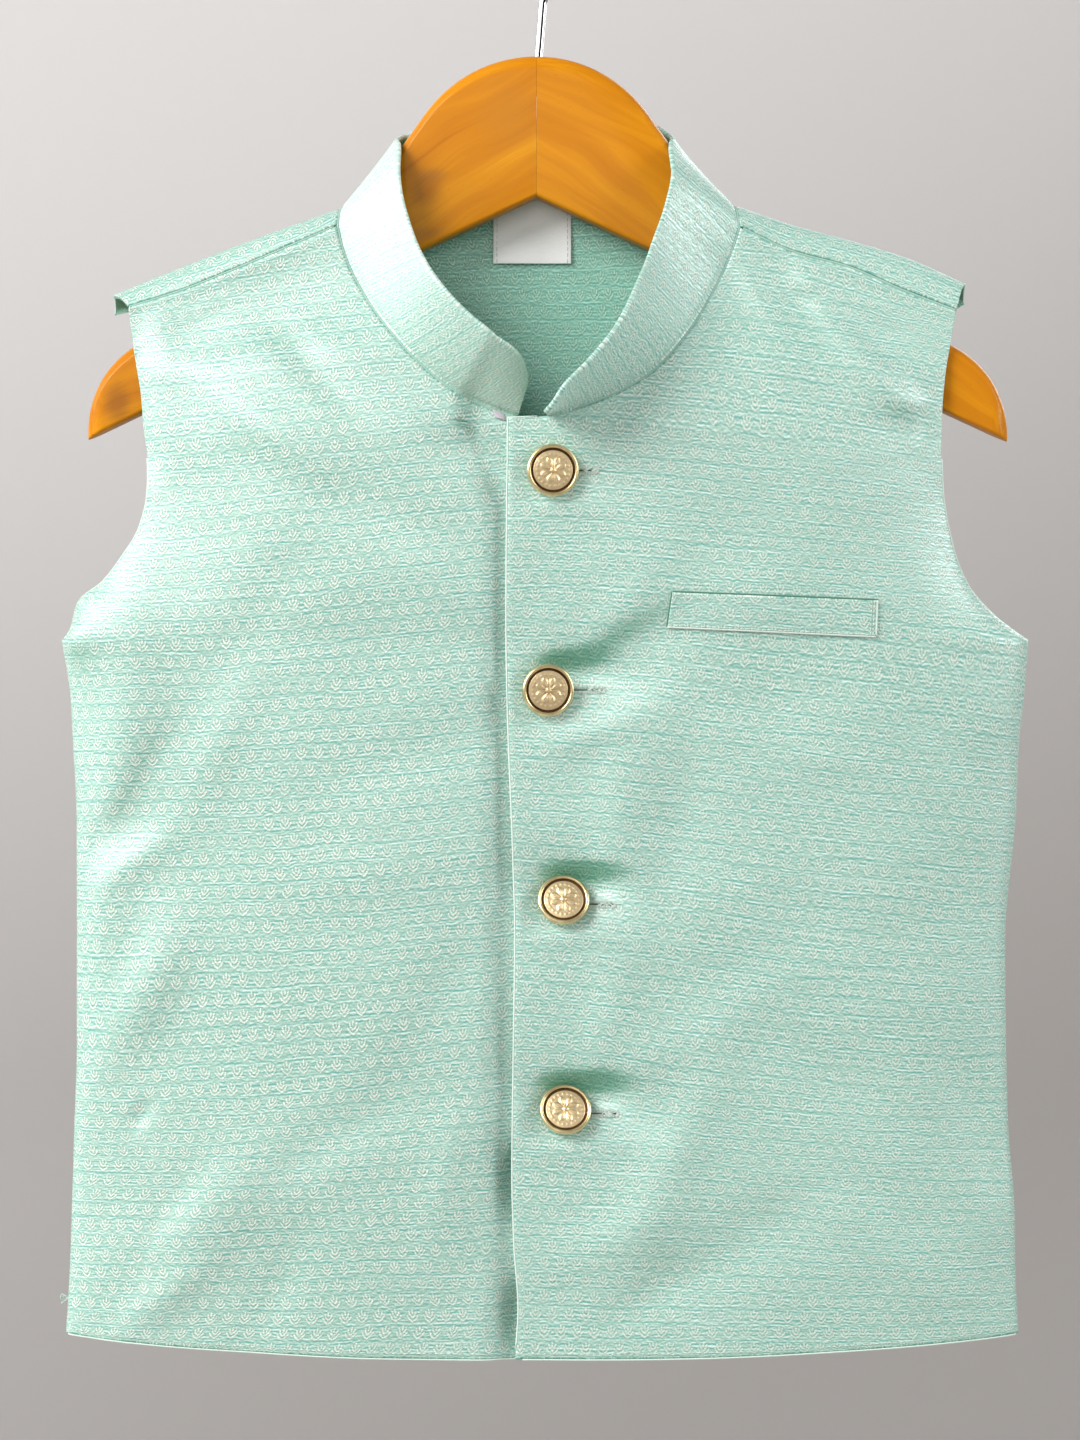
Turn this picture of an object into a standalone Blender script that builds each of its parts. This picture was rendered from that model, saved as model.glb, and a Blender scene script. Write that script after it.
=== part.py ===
"""A child's sleeveless nehru jacket on its wooden hanger.

Lengths are millimetres in the tables and functions, and become metres in the meshes. +Z is up,
the front of the jacket faces -Y, and +X is at the right of someone who looks at the front. The
wearer's right side is at -X. The origin is the inside top of the hook, where a rail holds it.
"""

import math
from collections import namedtuple

import bmesh
import bpy
import numpy as np

MM = 0.001

# Driving dimensions, in millimetres.
WALL = 1.6                # cloth of the body and the welt
COLLAR_WALL = 1.8
GAP = 0.3                 # between neighbouring pieces
LAYER_GAP = 0.7           # between the two fronts where they overlap
SEAT_GAP = 0.4            # between the welt and the front that it lies on
UNDERLAP_X = 14.4         # centre edge of the right front, under the left front
UNDERLAP_RAMP = (-21.0, -14.5)   # where the right front dips under the left one
UNDERLAP_EARLY = 9.0      # and how much earlier it does so at the top
UNDERLAP_FOLD = 1.3       # the under layer's folds, as a share of the upper layer's
COLLAR_HEIGHT = 31.0
COLLAR_CORNER = 11.0      # radius of the band's rounded ends
HEM_BOW = 2.6             # how far each hem hangs below a straight line
SECTION_POWER = 4.0       # how square the body is in plan
BACK_NECK_Z = -108.5

HANGER_X = -2.6           # the joint between the hanger's halves
HANGER_THICKNESS = 12.0
HANGER_TOP_Z = -57.0
HUMP_RADIUS = 47.5
HUMP_FLANK = math.radians(54.5)
ARM_ROUND = 5.0           # radius along the top edges of the hanger
ARM_EASE = 1.5            # radius along its bottom edges
WIRE_RADIUS = 1.45
HOOK_RADIUS = 16.0        # inside radius of the hook
HOOK_BEND = 6.8           # radius of the bend between stem and hook
STEM_X = -1.9
STEM_DEPTH = 14.0         # how far the stem goes into the hanger

BUTTON_RADIUS = 9.0
SHANK_RADIUS = 0.7
BUTTONHOLE_HEIGHT = 2.2
BUTTONHOLE_REACH = (-2.4, 15.4)  # from a button's middle to each end of its hole

LABEL_WALL = 1.0
WELT_WALL = 1.0
WELT_CELLS = (10, 2)
RIGHT, LEFT = "right", "left"
SIGN = {RIGHT: -1.0, LEFT: 1.0}


def table(columns, *rows):
    """The rows of a table as records, so that each number is read by its column's name."""
    record = namedtuple("Row", columns)
    return [record(*row) for row in rows]


# Half widths of the body at the side seams, from the hem up to the underarm.
SIDE_SEAM = table(
    "z right left",
    (-501.0, 166.3, 165.0),
    (-480.0, 165.0, 164.0),
    (-457.0, 164.2, 163.6),
    (-430.0, 163.4, 161.5),
    (-400.0, 162.5, 160.7),
    (-364.0, 162.5, 160.4),
    (-322.0, 162.6, 164.0),
    (-295.0, 163.9, 165.3),
    (-279.0, 164.8, 167.0),
    (-260.0, 167.7, 168.5),
)

# Armhole edges, from the underarm up to the shoulder seam.
ARMHOLE = table(
    "right_x right_z left_x left_z",
    (167.7, -260.0, 168.5, -260.0),
    (158.6, -252.3, 156.0, -250.5),
    (148.5, -244.6, 147.0, -240.5),
    (141.8, -233.5, 142.2, -229.5),
    (137.3, -221.5, 139.5, -217.5),
    (135.8, -210.0, 138.1, -206.0),
    (137.2, -198.0, 137.7, -194.0),
    (138.8, -186.0, 138.0, -181.0),
    (139.7, -175.0, 139.0, -169.0),
    (141.3, -165.0, 140.6, -158.5),
    (144.1, -144.6, 143.0, -146.0),
)
ARMHOLE_AT_NECK = 0.60    # fraction of the armhole level with the front neck

# Centre edge of the left front, which lies on top.
PLACKET = table(
    "x z",
    (-10.0, -508.5),
    (-8.9, -491.0),
    (-10.3, -469.0),
    (-11.0, -445.0),
    (-10.6, -408.0),
    (-10.0, -360.0),
    (-10.6, -336.0),
    (-12.4, -288.0),
    (-13.0, -255.0),
    (-12.4, -184.2),
)
UNDERLAP = table("x z", (UNDERLAP_X, -508.5), (UNDERLAP_X, -260.0), (UNDERLAP_X, -186.0))
UNDERARM_Z = -260.0
CENTRE_BACK_HEM_Z = -509.5

# Front necklines, from the collar's end up to the shoulder seam.
NECKLINE = {
    RIGHT: table(
        "x z",
        (-9.0, -184.0),
        (-16.9, -181.7),
        (-23.8, -178.6),
        (-33.7, -173.1),
        (-42.0, -166.2),
        (-49.6, -158.3),
        (-61.3, -142.5),
        (-69.5, -125.6),
        (-71.7, -116.4),
    ),
    LEFT: table(
        "x z",
        (1.0, -183.4),
        (8.6, -181.8),
        (22.3, -176.8),
        (36.5, -168.8),
        (47.8, -156.8),
        (61.2, -134.6),
        (66.0, -123.0),
        (67.9, -117.0),
    ),
}

# The top of each shoulder, where the back folds over, and the forward seam, from neck to tip.
SHOULDER = {
    RIGHT: table(
        "fold_x fold_z seam_x seam_z",
        (71.0, -109.8, 71.7, -116.4),
        (91.0, -116.8, 90.0, -124.3),
        (111.0, -124.2, 108.0, -131.9),
        (131.0, -132.0, 126.0, -139.0),
        (150.0, -139.8, 144.1, -144.6),
    ),
    LEFT: table(
        "fold_x fold_z seam_x seam_z",
        (66.4, -108.8, 67.9, -117.0),
        (86.0, -115.4, 86.5, -125.6),
        (106.0, -120.8, 105.5, -130.8),
        (126.5, -127.0, 124.5, -139.0),
        (146.9, -136.0, 143.0, -146.0),
    ),
}
SEAM_ANGLE = math.radians(70.0)      # how far in front of the fold the shoulder seam lies
ROLL_TIP_DEPTH = 7.6                 # half depth of the folded shoulder at its tip
ROLL_NECK_DEPTH = (HANGER_THICKNESS / 2 + GAP + COLLAR_WALL) / math.sin(SEAM_ANGLE)
ROLL_BACK_DROP = 7.5                 # height of the fold's rounding at the back
NECK_BACK_DROP = 2.0                 # the same at the neck, where the fold is flatter
NECK_ROUND = 10.0                    # how far the neck edge curves in behind the fold
NECK_SHARE = 0.6                     # part of the shoulder over which these two fade out
SHOULDER_TIP_BACK = 1.5              # how far the back's armhole lies inside the front's

# How far the outside stands from the middle plane. Level 0 is the hem, 1 the underarm, 2 the
# bottom of the neck and 3 the shoulder. The edge column holds for the side seam or armhole.
FRONT_DEPTH = table(
    "level centre edge power",
    (0.00, 13.0, 0.15, 0.5),
    (0.35, 16.0, 0.15, 0.5),
    (0.70, 19.5, 0.15, 0.5),
    (1.00, 22.5, 0.15, 0.5),
    (1.35, 25.0, 5.50, 0.7),
    (2.00, 27.0, 9.50, 1.0),
    (2.50, 23.0, 9.00, 1.0),
    (3.00, 10.0, 6.00, 1.0),
)
BACK_DEPTH = table(
    "level centre edge power",
    (0.00, 9.0, 0.15, 0.5),
    (0.50, 11.0, 0.15, 0.5),
    (1.00, 12.5, 0.15, 0.5),
    (1.35, 12.5, 4.00, 0.7),
    (2.00, 12.0, 7.50, 1.0),
    (3.00, 11.0, 6.40, 1.0),
)
BACK_NECK = table(
    "x z",
    (0.0, BACK_NECK_Z),
    (24.0, -108.7),
    (42.0, -109.5),
    (54.0, -110.7),
    (58.7, -111.3),
)

# Largest folds and hollows. Slant is the angle from level; a negative depth is a ridge.
FRONT_FOLDS = table(
    "x z length width slant depth",
    (5.0, -264.0, 15.0, 8.0, 0.0, 2.5),
    (8.5, -338.0, 15.0, 8.5, 4.0, 4.5),
    (9.5, -411.0, 15.0, 8.5, 4.0, 4.5),
    (26.0, -258.0, 26.0, 9.0, 42.0, 1.6),
    (-25.0, -195.0, 16.0, 7.0, -38.0, 1.6),
    (84.0, -131.0, 16.0, 6.0, -58.0, 2.2),
    (112.0, -146.0, 26.0, 7.0, -55.0, 1.8),
    (126.0, -187.0, 22.0, 8.0, 6.0, 1.6),
    (-148.0, -328.0, 22.0, 8.0, 48.0, 2.2),
    (-144.0, -392.0, 20.0, 9.0, 62.0, -1.8),
    (-110.0, -452.0, 46.0, 12.0, 34.0, -2.2),
    (-68.0, -430.0, 46.0, 12.0, 28.0, 1.8),
    (148.0, -420.0, 34.0, 10.0, -68.0, 2.2),
    (118.0, -470.0, 40.0, 11.0, -40.0, -1.8),
    (44.0, -440.0, 42.0, 10.0, 66.0, -1.8),
)
BACK_FOLDS = table(
    "x z length width slant depth",
    (-62.0, -170.0, 44.0, 11.0, -32.0, 1.8),
    (58.0, -166.0, 40.0, 10.0, 35.0, 1.6),
    (-118.0, -300.0, 40.0, 12.0, 52.0, 1.8),
    (122.0, -318.0, 36.0, 11.0, -48.0, 1.6),
    (-74.0, -440.0, 52.0, 13.0, 64.0, -2.0),
    (30.0, -430.0, 58.0, 13.0, 84.0, 1.8),
    (96.0, -458.0, 40.0, 12.0, -62.0, -1.8),
)

# The collar band. Place 0 is its end at the centre front, 1 the shoulder seam, 2 the back of the
# shoulder and 3 the centre back. Turn is the angle of the band from level, inwards and up, and
# lean is the angle at which it leans to the front.
COLLAR = {
    RIGHT: table(
        "place turn lean",
        (0.00, 71.0, 46.5),
        (0.16, 63.0, 48.0),
        (0.28, 61.0, 44.0),
        (0.50, 58.0, 42.0),
        (0.71, 51.0, 35.0),
        (0.90, 46.0, 25.0),
        (1.00, 46.0, 21.0),
        (1.50, 54.0, 7.0),
        (2.00, 68.0, 0.0),
        (2.30, 80.0, 3.0),
        (3.00, 90.0, 6.0),
    ),
    LEFT: table(
        "place turn lean",
        (0.00, 90.0, 94.0),
        (0.08, 70.0, 80.0),
        (0.22, 58.0, 68.0),
        (0.39, 53.0, 54.0),
        (0.55, 48.0, 42.0),
        (0.81, 42.0, 27.0),
        (0.94, 41.0, 22.0),
        (1.00, 41.0, 20.0),
        (1.50, 47.0, 7.0),
        (2.00, 68.0, 0.0),
        (2.30, 80.0, 3.0),
        (3.00, 90.0, 6.0),
    ),
}
COLLAR_ROWS = 5
NECK_GAP = 0.4            # between the band and the neck edges
BAND_EASE = 10.0          # how far its turns are spread along the seam
NORMAL_EASE = 4.0
COLLAR_ROOM = 0.7         # height of the band's inside above the hanger

BUTTONS = table(
    "x z tilt_up tilt_right",
    (2.4, -202.3, 2.0, 9.0),
    (0.7, -277.4, -4.0, 7.0),
    (6.5, -351.2, 15.0, 3.0),
    (7.1, -423.6, 13.0, 4.0),
)
# The turned shape of a button, outwards from the face of the left front. Rings below the hinge
# belong to the straight shank, and the rings above it tilt with the button.
BUTTON_PROFILE = table(
    "radius height",
    (0.0, -1.75),
    (SHANK_RADIUS, -1.75),
    (SHANK_RADIUS, 0.6),
    (SHANK_RADIUS, 3.2),
    (7.6, 3.3),
    (8.6, 3.9),
    (BUTTON_RADIUS, 4.9),
    (8.8, 5.7),
    (8.3, 6.1),
    (7.8, 5.9),
    (7.5, 5.1),
    (7.1, 5.2),
    (6.8, 5.6),
    (3.6, 6.0),
    (0.0, 6.1),
)
BUTTON_HINGE = 1.0
BUTTON_SIDES = 16

# The chest welt's corners on the left front.
WELT = table(
    "corner x z",
    ("inner_low", 42.4, -255.6),
    ("inner_high", 44.0, -243.9),
    ("outer_high", 114.3, -246.6),
    ("outer_low", 113.9, -258.9),
)
LABEL = {"x": (-17.8, 9.6), "top": BACK_NECK_Z - 0.6, "bottom": -128.0}

# Underside of each half of the hanger, from the joint out to its end.
UNDERSIDE = {
    RIGHT: table("out z", (0.0, -106.0), (43.0, -126.0), (136.4, -180.9), (155.8, -190.2)),
    LEFT: table("out z", (0.0, -106.0), (40.0, -124.7), (141.6, -180.6), (163.6, -190.8)),
}
ARM_OUT = {RIGHT: 139.0, LEFT: 144.5}    # where each arm's top is at ARM_Z
ARM_Z = -157.4
ARM_SLOPE = math.radians(31.0)
END_RADIUS = 34.0
END_TAPER = 6.0           # length over which the ends get thinner
HANGER_STATIONS = 26
STATION_CLUSTER = 1.3     # brings the sections closer together towards the end
CORNER_STEPS = 3

ARM_BLEND = 0.9           # softens the hollow between the hump and each arm
HOOK_JOIN = -75.0         # where the bend meets the hook's ring, in degrees
HOOK_END = 205.0
HOOK_STEPS = 22
WIRE_SIDES = 14
BORE_SIDES = 16
CUT_DEPTH = 6.0

# How finely the panels are divided. The fronts' rows are closest at the hollows over buttons.
FRONT_ROWS = (
    0.0, 0.06, 0.13, 0.20, 0.27, 0.325, 0.36, 0.385, 0.41, 0.44, 0.49, 0.545, 0.60, 0.64,
    0.67, 0.695, 0.72, 0.75, 0.81, 0.87, 0.93, 0.965, 1.0, 1.06, 1.16, 1.32, 1.5, 1.7, 1.87,
)
BACK_ROWS = (
    0.0, 0.09, 0.19, 0.29, 0.38, 0.47, 0.56, 0.65, 0.74, 0.83, 0.92, 1.0,
    1.12, 1.27, 1.44, 1.62, 1.81,
)
ROWS_AT_NECK = 9
ROWS_AT_BACK_NECK = 6
ROWS_OVER_SHOULDER = 7
OVERLAP_CELLS = 3
FAR_CELLS = 12
SIDE_CLUSTER = 1.35
PLACKET_WIDTH = 12.4
HANGER_ROOM = HANGER_THICKNESS / 2 + GAP + WALL + 0.35   # from the middle to the outside there
REST_ABOVE = 4.0          # further than this above the hanger the cloth may come closer
REST_BELOW = 16.0         # and further than this below it
REST_FADE = 5.0
FADE_AT_EDGE = 8.0        # folds fade out this close to a seam
SEAM_GAP_ANGLE = GAP / 9.0
WELD = 0.001
SHARP_EDGE = math.radians(40.0)
SIDEWAYS = 0.05

COLOURS = {
    "cloth": ((0.52, 0.72, 0.61, 1.0), 0.55, 0.0),
    "label": ((0.88, 0.87, 0.86, 1.0), 0.35, 0.0),
    "wood": ((0.72, 0.36, 0.06, 1.0), 0.30, 0.0),
    "brass": ((0.80, 0.58, 0.27, 1.0), 0.30, 1.0),
    "steel": ((0.75, 0.75, 0.76, 1.0), 0.12, 1.0),
}


# Curves and surfaces

def column(rows, name):
    return np.array([getattr(row, name) for row in rows], float)


def points(rows, x="x", z="z", sign=1.0):
    """The (x, z) points of a table."""
    return np.stack([sign * column(rows, x), column(rows, z)], axis=1)


def smooth(t):
    t = np.clip(t, 0.0, 1.0)
    return t * t * (3.0 - 2.0 * t)


def unit(vectors):
    return vectors / np.linalg.norm(vectors, axis=-1, keepdims=True)


def hermite(knots, values, at):
    """A smooth curve through values at knots; values may have several columns."""
    knots, values = np.asarray(knots, float), np.asarray(values, float)
    rises = (np.diff(values, axis=0).T / np.diff(knots)).T
    before, after = rises[:-1], rises[1:]
    turning = before * after <= 0.0
    mean = 2.0 * before * after / np.where(turning, 1.0, before + after)
    slopes = np.concatenate([rises[:1], np.where(turning, 0.0, mean), rises[-1:]])
    at = np.clip(np.asarray(at, float), knots[0], knots[-1])
    low = np.clip(np.searchsorted(knots, at, side="right") - 1, 0, len(knots) - 2)
    span = knots[low + 1] - knots[low]
    t = (at - knots[low]) / span
    if values.ndim > 1:
        t, span = t[:, None], span[:, None]
    start, end = values[low], values[low + 1]
    rise_start, rise_end = slopes[low] * span, slopes[low + 1] * span
    between = (2 * t**3 - 3 * t**2 + 1) * start + (3 * t**2 - 2 * t**3) * end
    return between + (t**3 - 2 * t**2 + t) * rise_start + (t**3 - t**2) * rise_end


def distances(line):
    """Distance along a line of points, from its start."""
    steps = np.linalg.norm(np.diff(line, axis=0), axis=1)
    return np.concatenate([[0.0], np.cumsum(steps)])


def along(line, fraction):
    """Points at fractions of the length of the smooth curve through a line of points."""
    run = distances(line)
    return hermite(run / run[-1], line, fraction)


def track(rows, name, level, key="level"):
    """A table's column as a smooth function of its key column."""
    return hermite(column(rows, key), column(rows, name), level)


def folds(rows, x, z):
    """How far the folds of a table push the cloth in at x, z."""
    push = np.zeros_like(x)
    for fold in rows:
        angle = math.radians(fold.slant)
        dx, dz = x - fold.x, z - fold.z
        run = dx * math.cos(angle) + dz * math.sin(angle)
        off = dz * math.cos(angle) - dx * math.sin(angle)
        push = push + fold.depth * np.exp(-(run / fold.length) ** 2 - (off / fold.width) ** 2)
    return push


def grid_normals(grid):
    """Unit normals of a grid of points: columns crossed with rows."""
    return unit(np.cross(np.gradient(grid, axis=1), np.gradient(grid, axis=0)))


# The shoulder, where the back folds over to the forward seam

def roll(side, t, angle):
    """Outside of the shoulder at fraction t from the neck, angle in front of the fold."""
    rows = SHOULDER[side]
    knots = np.linspace(0.0, 1.0, len(rows))
    fold_x, fold_z, seam_x, seam_z = (
        hermite(knots, column(rows, name), t) for name in ("fold_x", "fold_z", "seam_x", "seam_z")
    )
    front_drop = (fold_z - seam_z) / (1.0 - math.cos(SEAM_ANGLE))
    near_neck = (1.0 - np.minimum(t / NECK_SHARE, 1.0)) ** 2
    back_drop = ROLL_BACK_DROP + (NECK_BACK_DROP - ROLL_BACK_DROP) * near_neck
    drop = front_drop if angle > 0.0 else back_drop
    x = fold_x + (seam_x - fold_x) * abs(angle) / SEAM_ANGLE
    if angle < 0.0:
        x = fold_x - NECK_ROUND * near_neck * math.sin(angle) ** 4
    depth = ROLL_NECK_DEPTH + (ROLL_TIP_DEPTH - ROLL_NECK_DEPTH) * t
    y = -depth * math.sin(angle)
    z = fold_z - drop * (1.0 - math.cos(angle))
    return np.stack([SIGN[side] * x, y, z], axis=-1)


def roll_normal(side, t, angle):
    step = 0.01
    inside = np.clip(t, step, 1.0 - step)
    run = roll(side, inside + step, angle) - roll(side, inside - step, angle)
    turn = roll(side, inside, angle - step) - roll(side, inside, angle)
    return unit(SIGN[side] * np.cross(run, turn))


# Rows of the body panels. Level 0 is the hem, 1 the underarm, 2 the neck and 3 the shoulder.

FRONT_LEVELS = np.concatenate([FRONT_ROWS, np.linspace(2.0, 3.0, ROWS_AT_NECK + 1)])
BACK_LEVELS = np.concatenate([BACK_ROWS, np.linspace(2.0, 3.0, ROWS_AT_BACK_NECK + 1)])
COLLAR_LEVEL = 2.0 + 1.0 / ROWS_AT_NECK     # the front's row that starts at the collar's end
COLLAR_ROW = len(FRONT_ROWS) + 1
NECK_ROW = len(BACK_ROWS)                   # the back's row that starts at the neck seam


def outer_ends(side, levels, inset=0.0):
    """Where rows end: at the side seam and, above the underarm, at the armhole."""
    seam = points(SIDE_SEAM, side, "z", SIGN[side])
    hole = points(ARMHOLE, side + "_x", side + "_z", SIGN[side])
    below = along(seam, np.clip(levels, 0.0, 1.0))
    above = along(hole, np.interp(levels, (1.0, 2.0, 3.0), (0.0, ARMHOLE_AT_NECK, 1.0)))
    above[:, 0] -= SIGN[side] * inset * smooth((levels - 1.0) * 3.0)
    return np.where(levels[:, None] <= 1.0, below, above)


def on_centre_edge(edge, levels):
    """Points of a centre edge from the hem (level 0) to its top (level 2)."""
    run = distances(edge)
    armpit = np.interp(UNDERARM_Z, edge[:, 1], run / run[-1])
    return along(edge, np.interp(levels, (0.0, 1.0, 2.0), (0.0, armpit, 1.0)))


def front_inner_ends(side, levels):
    """Where a front's rows start: at its centre edge, its overlap's top and its neckline."""
    neck = points(NECKLINE[side])
    edge = points(PLACKET if side == LEFT else UNDERLAP)
    centre = on_centre_edge(edge, levels)
    over = np.clip((levels - 2.0) / (COLLAR_LEVEL - 2.0), 0.0, 1.0)[:, None]
    top = edge[-1] + (neck[0] - edge[-1]) * over
    curve = along(neck, np.clip((levels - COLLAR_LEVEL) / (3.0 - COLLAR_LEVEL), 0.0, 1.0))
    levels = levels[:, None]
    return np.where(levels <= 2.0, centre, np.where(levels <= COLLAR_LEVEL, top, curve))


def back_inner_ends(side, levels):
    """Where the rows of half the back start: at the centre back and at the neck seam."""
    centre = on_centre_edge(np.array([[0.0, CENTRE_BACK_HEM_Z], [0.0, BACK_NECK_Z]]), levels)
    share = np.clip(levels - 2.0, 0.0, 1.0)
    curve = along(points(BACK_NECK), share)
    reach = roll(side, 0.0, -math.pi / 2)
    curve[:, 0] *= reach[0] / BACK_NECK[-1].x
    curve[:, 1] += (reach[2] - BACK_NECK[-1].z) * share**2
    return np.where(levels[:, None] <= 2.0, centre, curve)


def flat_rows(starts, ends, levels, columns, top):
    """Points (x, z) across straight rows, with the hem bowed and the top row at top."""
    across = columns[None, :, None]
    flat = starts[:, None, :] + (ends - starts)[:, None, :] * across
    hem = HEM_BOW * 4.0 * columns * (1.0 - columns)
    flat[:, :, 1] -= hem[None, :] * (1.0 - smooth(levels))[:, None]
    chord = top[:1] + (top[-1:] - top[:1]) * columns[:, None]
    return flat + (top - chord)[None] * smooth(levels - 2.0)[:, None, None]


def hanger_top(side, out):
    """Height of the hanger's top edge at a distance out from the joint."""
    hump_edge = HUMP_RADIUS * math.sin(HUMP_FLANK)
    hump = HANGER_TOP_Z - HUMP_RADIUS
    hump = hump + np.sqrt(HUMP_RADIUS**2 - np.minimum(out, hump_edge) ** 2)
    flank = hump - np.maximum(out - hump_edge, 0.0) * math.tan(HUMP_FLANK)
    arm = ARM_Z + (ARM_OUT[side] - out) * math.tan(ARM_SLOPE)
    blended = (flank + arm) / 2 + np.sqrt((flank - arm) ** 2 / 4 + ARM_BLEND**2)
    top = np.where(out < hump_edge, flank, blended)
    end_middle = UNDERSIDE[side][-1].out - END_RADIUS
    end_start = end_middle + END_RADIUS * math.sin(ARM_SLOPE)
    drop = math.sqrt(END_RADIUS**2 - (end_start - end_middle) ** 2)
    end_z = ARM_Z + (ARM_OUT[side] - end_start) * math.tan(ARM_SLOPE) - drop
    reach = np.clip(out - end_middle, 0.0, END_RADIUS)
    return np.where(out > end_start, end_z + np.sqrt(END_RADIUS**2 - reach**2), top)


def hanger_base(x):
    """Height of the hanger's underside."""
    base = [np.interp(np.abs(x - HANGER_X), column(UNDERSIDE[side], "out"),
                      column(UNDERSIDE[side], "z")) for side in (RIGHT, LEFT)]
    return np.where(x < HANGER_X, *base)


def over_hanger(x, y, z):
    """How far above the hanger's upper surface a point is, where the hanger lies under it."""
    out = np.abs(x - HANGER_X)
    top = np.where(x < HANGER_X, hanger_top(RIGHT, out), hanger_top(LEFT, out))
    side = np.clip(np.abs(y) - HANGER_THICKNESS / 2 + ARM_ROUND, 0.0, ARM_ROUND)
    return z - (top - ARM_ROUND + np.sqrt(ARM_ROUND**2 - side**2))


def body_depth(rows, flat, ends, levels, shoulder_depth):
    """Distance from the middle plane to the outside at each point."""
    across = np.clip(np.abs(flat[:, :, 0]) / np.abs(ends[:, 0])[:, None], 0.0, 1.0)
    centre, edge, power = (
        track(rows, name, levels)[:, None] for name in ("centre", "edge", "power")
    )
    depth = edge + (centre - edge) * (1.0 - across**SECTION_POWER) ** power
    near_top = smooth((levels - 2.5) / 0.5)[:, None]
    return depth * (1.0 - near_top) + shoulder_depth[None, :] * near_top


def rest_on_hanger(depth, flat, levels):
    """The cloth lies against the hanger's faces and not inside them."""
    x, z = flat[:, :, 0], flat[:, :, 1]
    below_top = REST_ABOVE - over_hanger(x, 0.0 * depth, z)
    above_base = REST_BELOW + z - hanger_base(x)
    near = smooth(np.minimum(below_top, above_base) / REST_FADE)
    return np.maximum(depth, HANGER_ROOM * near * smooth((3.0 - levels) * ROWS_AT_NECK)[:, None])


def fold_share(flat, ends):
    """Folds fade out towards the side seams and armholes."""
    return smooth((np.abs(ends[:, 0])[:, None] - np.abs(flat[:, :, 0])) / FADE_AT_EDGE)


def panel_columns(side):
    """Fractions across a half panel: close near the overlap and towards the side."""
    overlap = PLACKET_WIDTH + UNDERLAP_X
    if side == RIGHT:
        width = UNDERLAP_X + SIDE_SEAM[0].right
        dip = [(UNDERLAP_X - x) / width for x in reversed(UNDERLAP_RAMP)]
        near = np.concatenate([np.linspace(0.0, dip[0], OVERLAP_CELLS + 1), [dip[1]]])
        far_cells = FAR_CELLS
    else:
        width = PLACKET_WIDTH + SIDE_SEAM[0].left
        near = np.linspace(0.0, overlap / width, OVERLAP_CELLS + 1)
        near = np.concatenate([near, near[-1] + near[1:3]])
        far_cells = FAR_CELLS - 1
    far = 1.0 - (1.0 - np.linspace(0.0, 1.0, far_cells + 1)) ** SIDE_CLUSTER
    return np.concatenate([near[:-1], near[-1] + (1.0 - near[-1]) * far])


def front_grid(side, levels, columns):
    """Outside points of a front, rows from hem to shoulder, columns from centre to side."""
    ends = outer_ends(side, levels)
    top = roll(side, columns, SEAM_ANGLE)
    flat = flat_rows(front_inner_ends(side, levels), ends, levels, columns, top[:, [0, 2]])
    depth = body_depth(FRONT_DEPTH, flat, ends, levels, -top[:, 1])
    x, z = flat[:, :, 0], flat[:, :, 1]
    push = folds(FRONT_FOLDS, x, z) * fold_share(flat, ends) * smooth(15.0 - 5.0 * levels)[:, None]
    if side == RIGHT:
        start, stop = UNDERLAP_RAMP
        early = UNDERLAP_EARLY * smooth((levels - 1.6) / 0.4)[:, None]
        under = smooth((x + early - start) / (stop - start))
        push = push * (1.0 + (UNDERLAP_FOLD - 1.0) * under) + (WALL + LAYER_GAP) * under
    depth = rest_on_hanger(depth - push, flat, levels)
    return np.stack([x, -depth, z], axis=2)


def back_grid(side, levels, columns):
    """Outside points of half the back below the shoulder, columns from the centre out."""
    ends = outer_ends(side, levels, SHOULDER_TIP_BACK)
    top = roll(side, columns, -math.pi / 2)
    flat = flat_rows(back_inner_ends(side, levels), ends, levels, columns, top[:, [0, 2]])
    depth = body_depth(BACK_DEPTH, flat, ends, levels, top[:, 1])
    x, z = flat[:, :, 0], flat[:, :, 1]
    push = folds(BACK_FOLDS, x, z) * fold_share(flat, ends) * smooth(4.8 - 2.0 * levels)[:, None]
    return np.stack([x, rest_on_hanger(depth - push, flat, levels), z], axis=2)


def keep_on_own_side(outer, normals, side):
    """Turns normals near the side seam, so that the wall does not cross the middle plane."""
    room = np.clip((np.abs(outer[:, :, 1]) - GAP / 2) / WALL, 0.0, 1.0)
    depth = np.sign(normals[:, :, 1]) * np.minimum(np.abs(normals[:, :, 1]), room)
    flat = normals * (1.0, 0.0, 1.0) + (SIGN[side] * SIDEWAYS, 0.0, 0.0)
    flat = unit(flat) * np.sqrt(1.0 - depth**2)[:, :, None]
    turned = flat + depth[:, :, None] * (0.0, 1.0, 0.0)
    return np.where((np.abs(normals[:, :, 1]) > room)[:, :, None], turned, normals)


def front_panel(side):
    """Outside points and normals of a front."""
    columns = panel_columns(side)
    outer = front_grid(side, FRONT_LEVELS, columns)
    normals = SIGN[side] * grid_normals(outer)
    normals = keep_on_own_side(outer, normals, side)
    normals[-1] = roll_normal(side, columns, SEAM_ANGLE)
    return outer, normals


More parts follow.
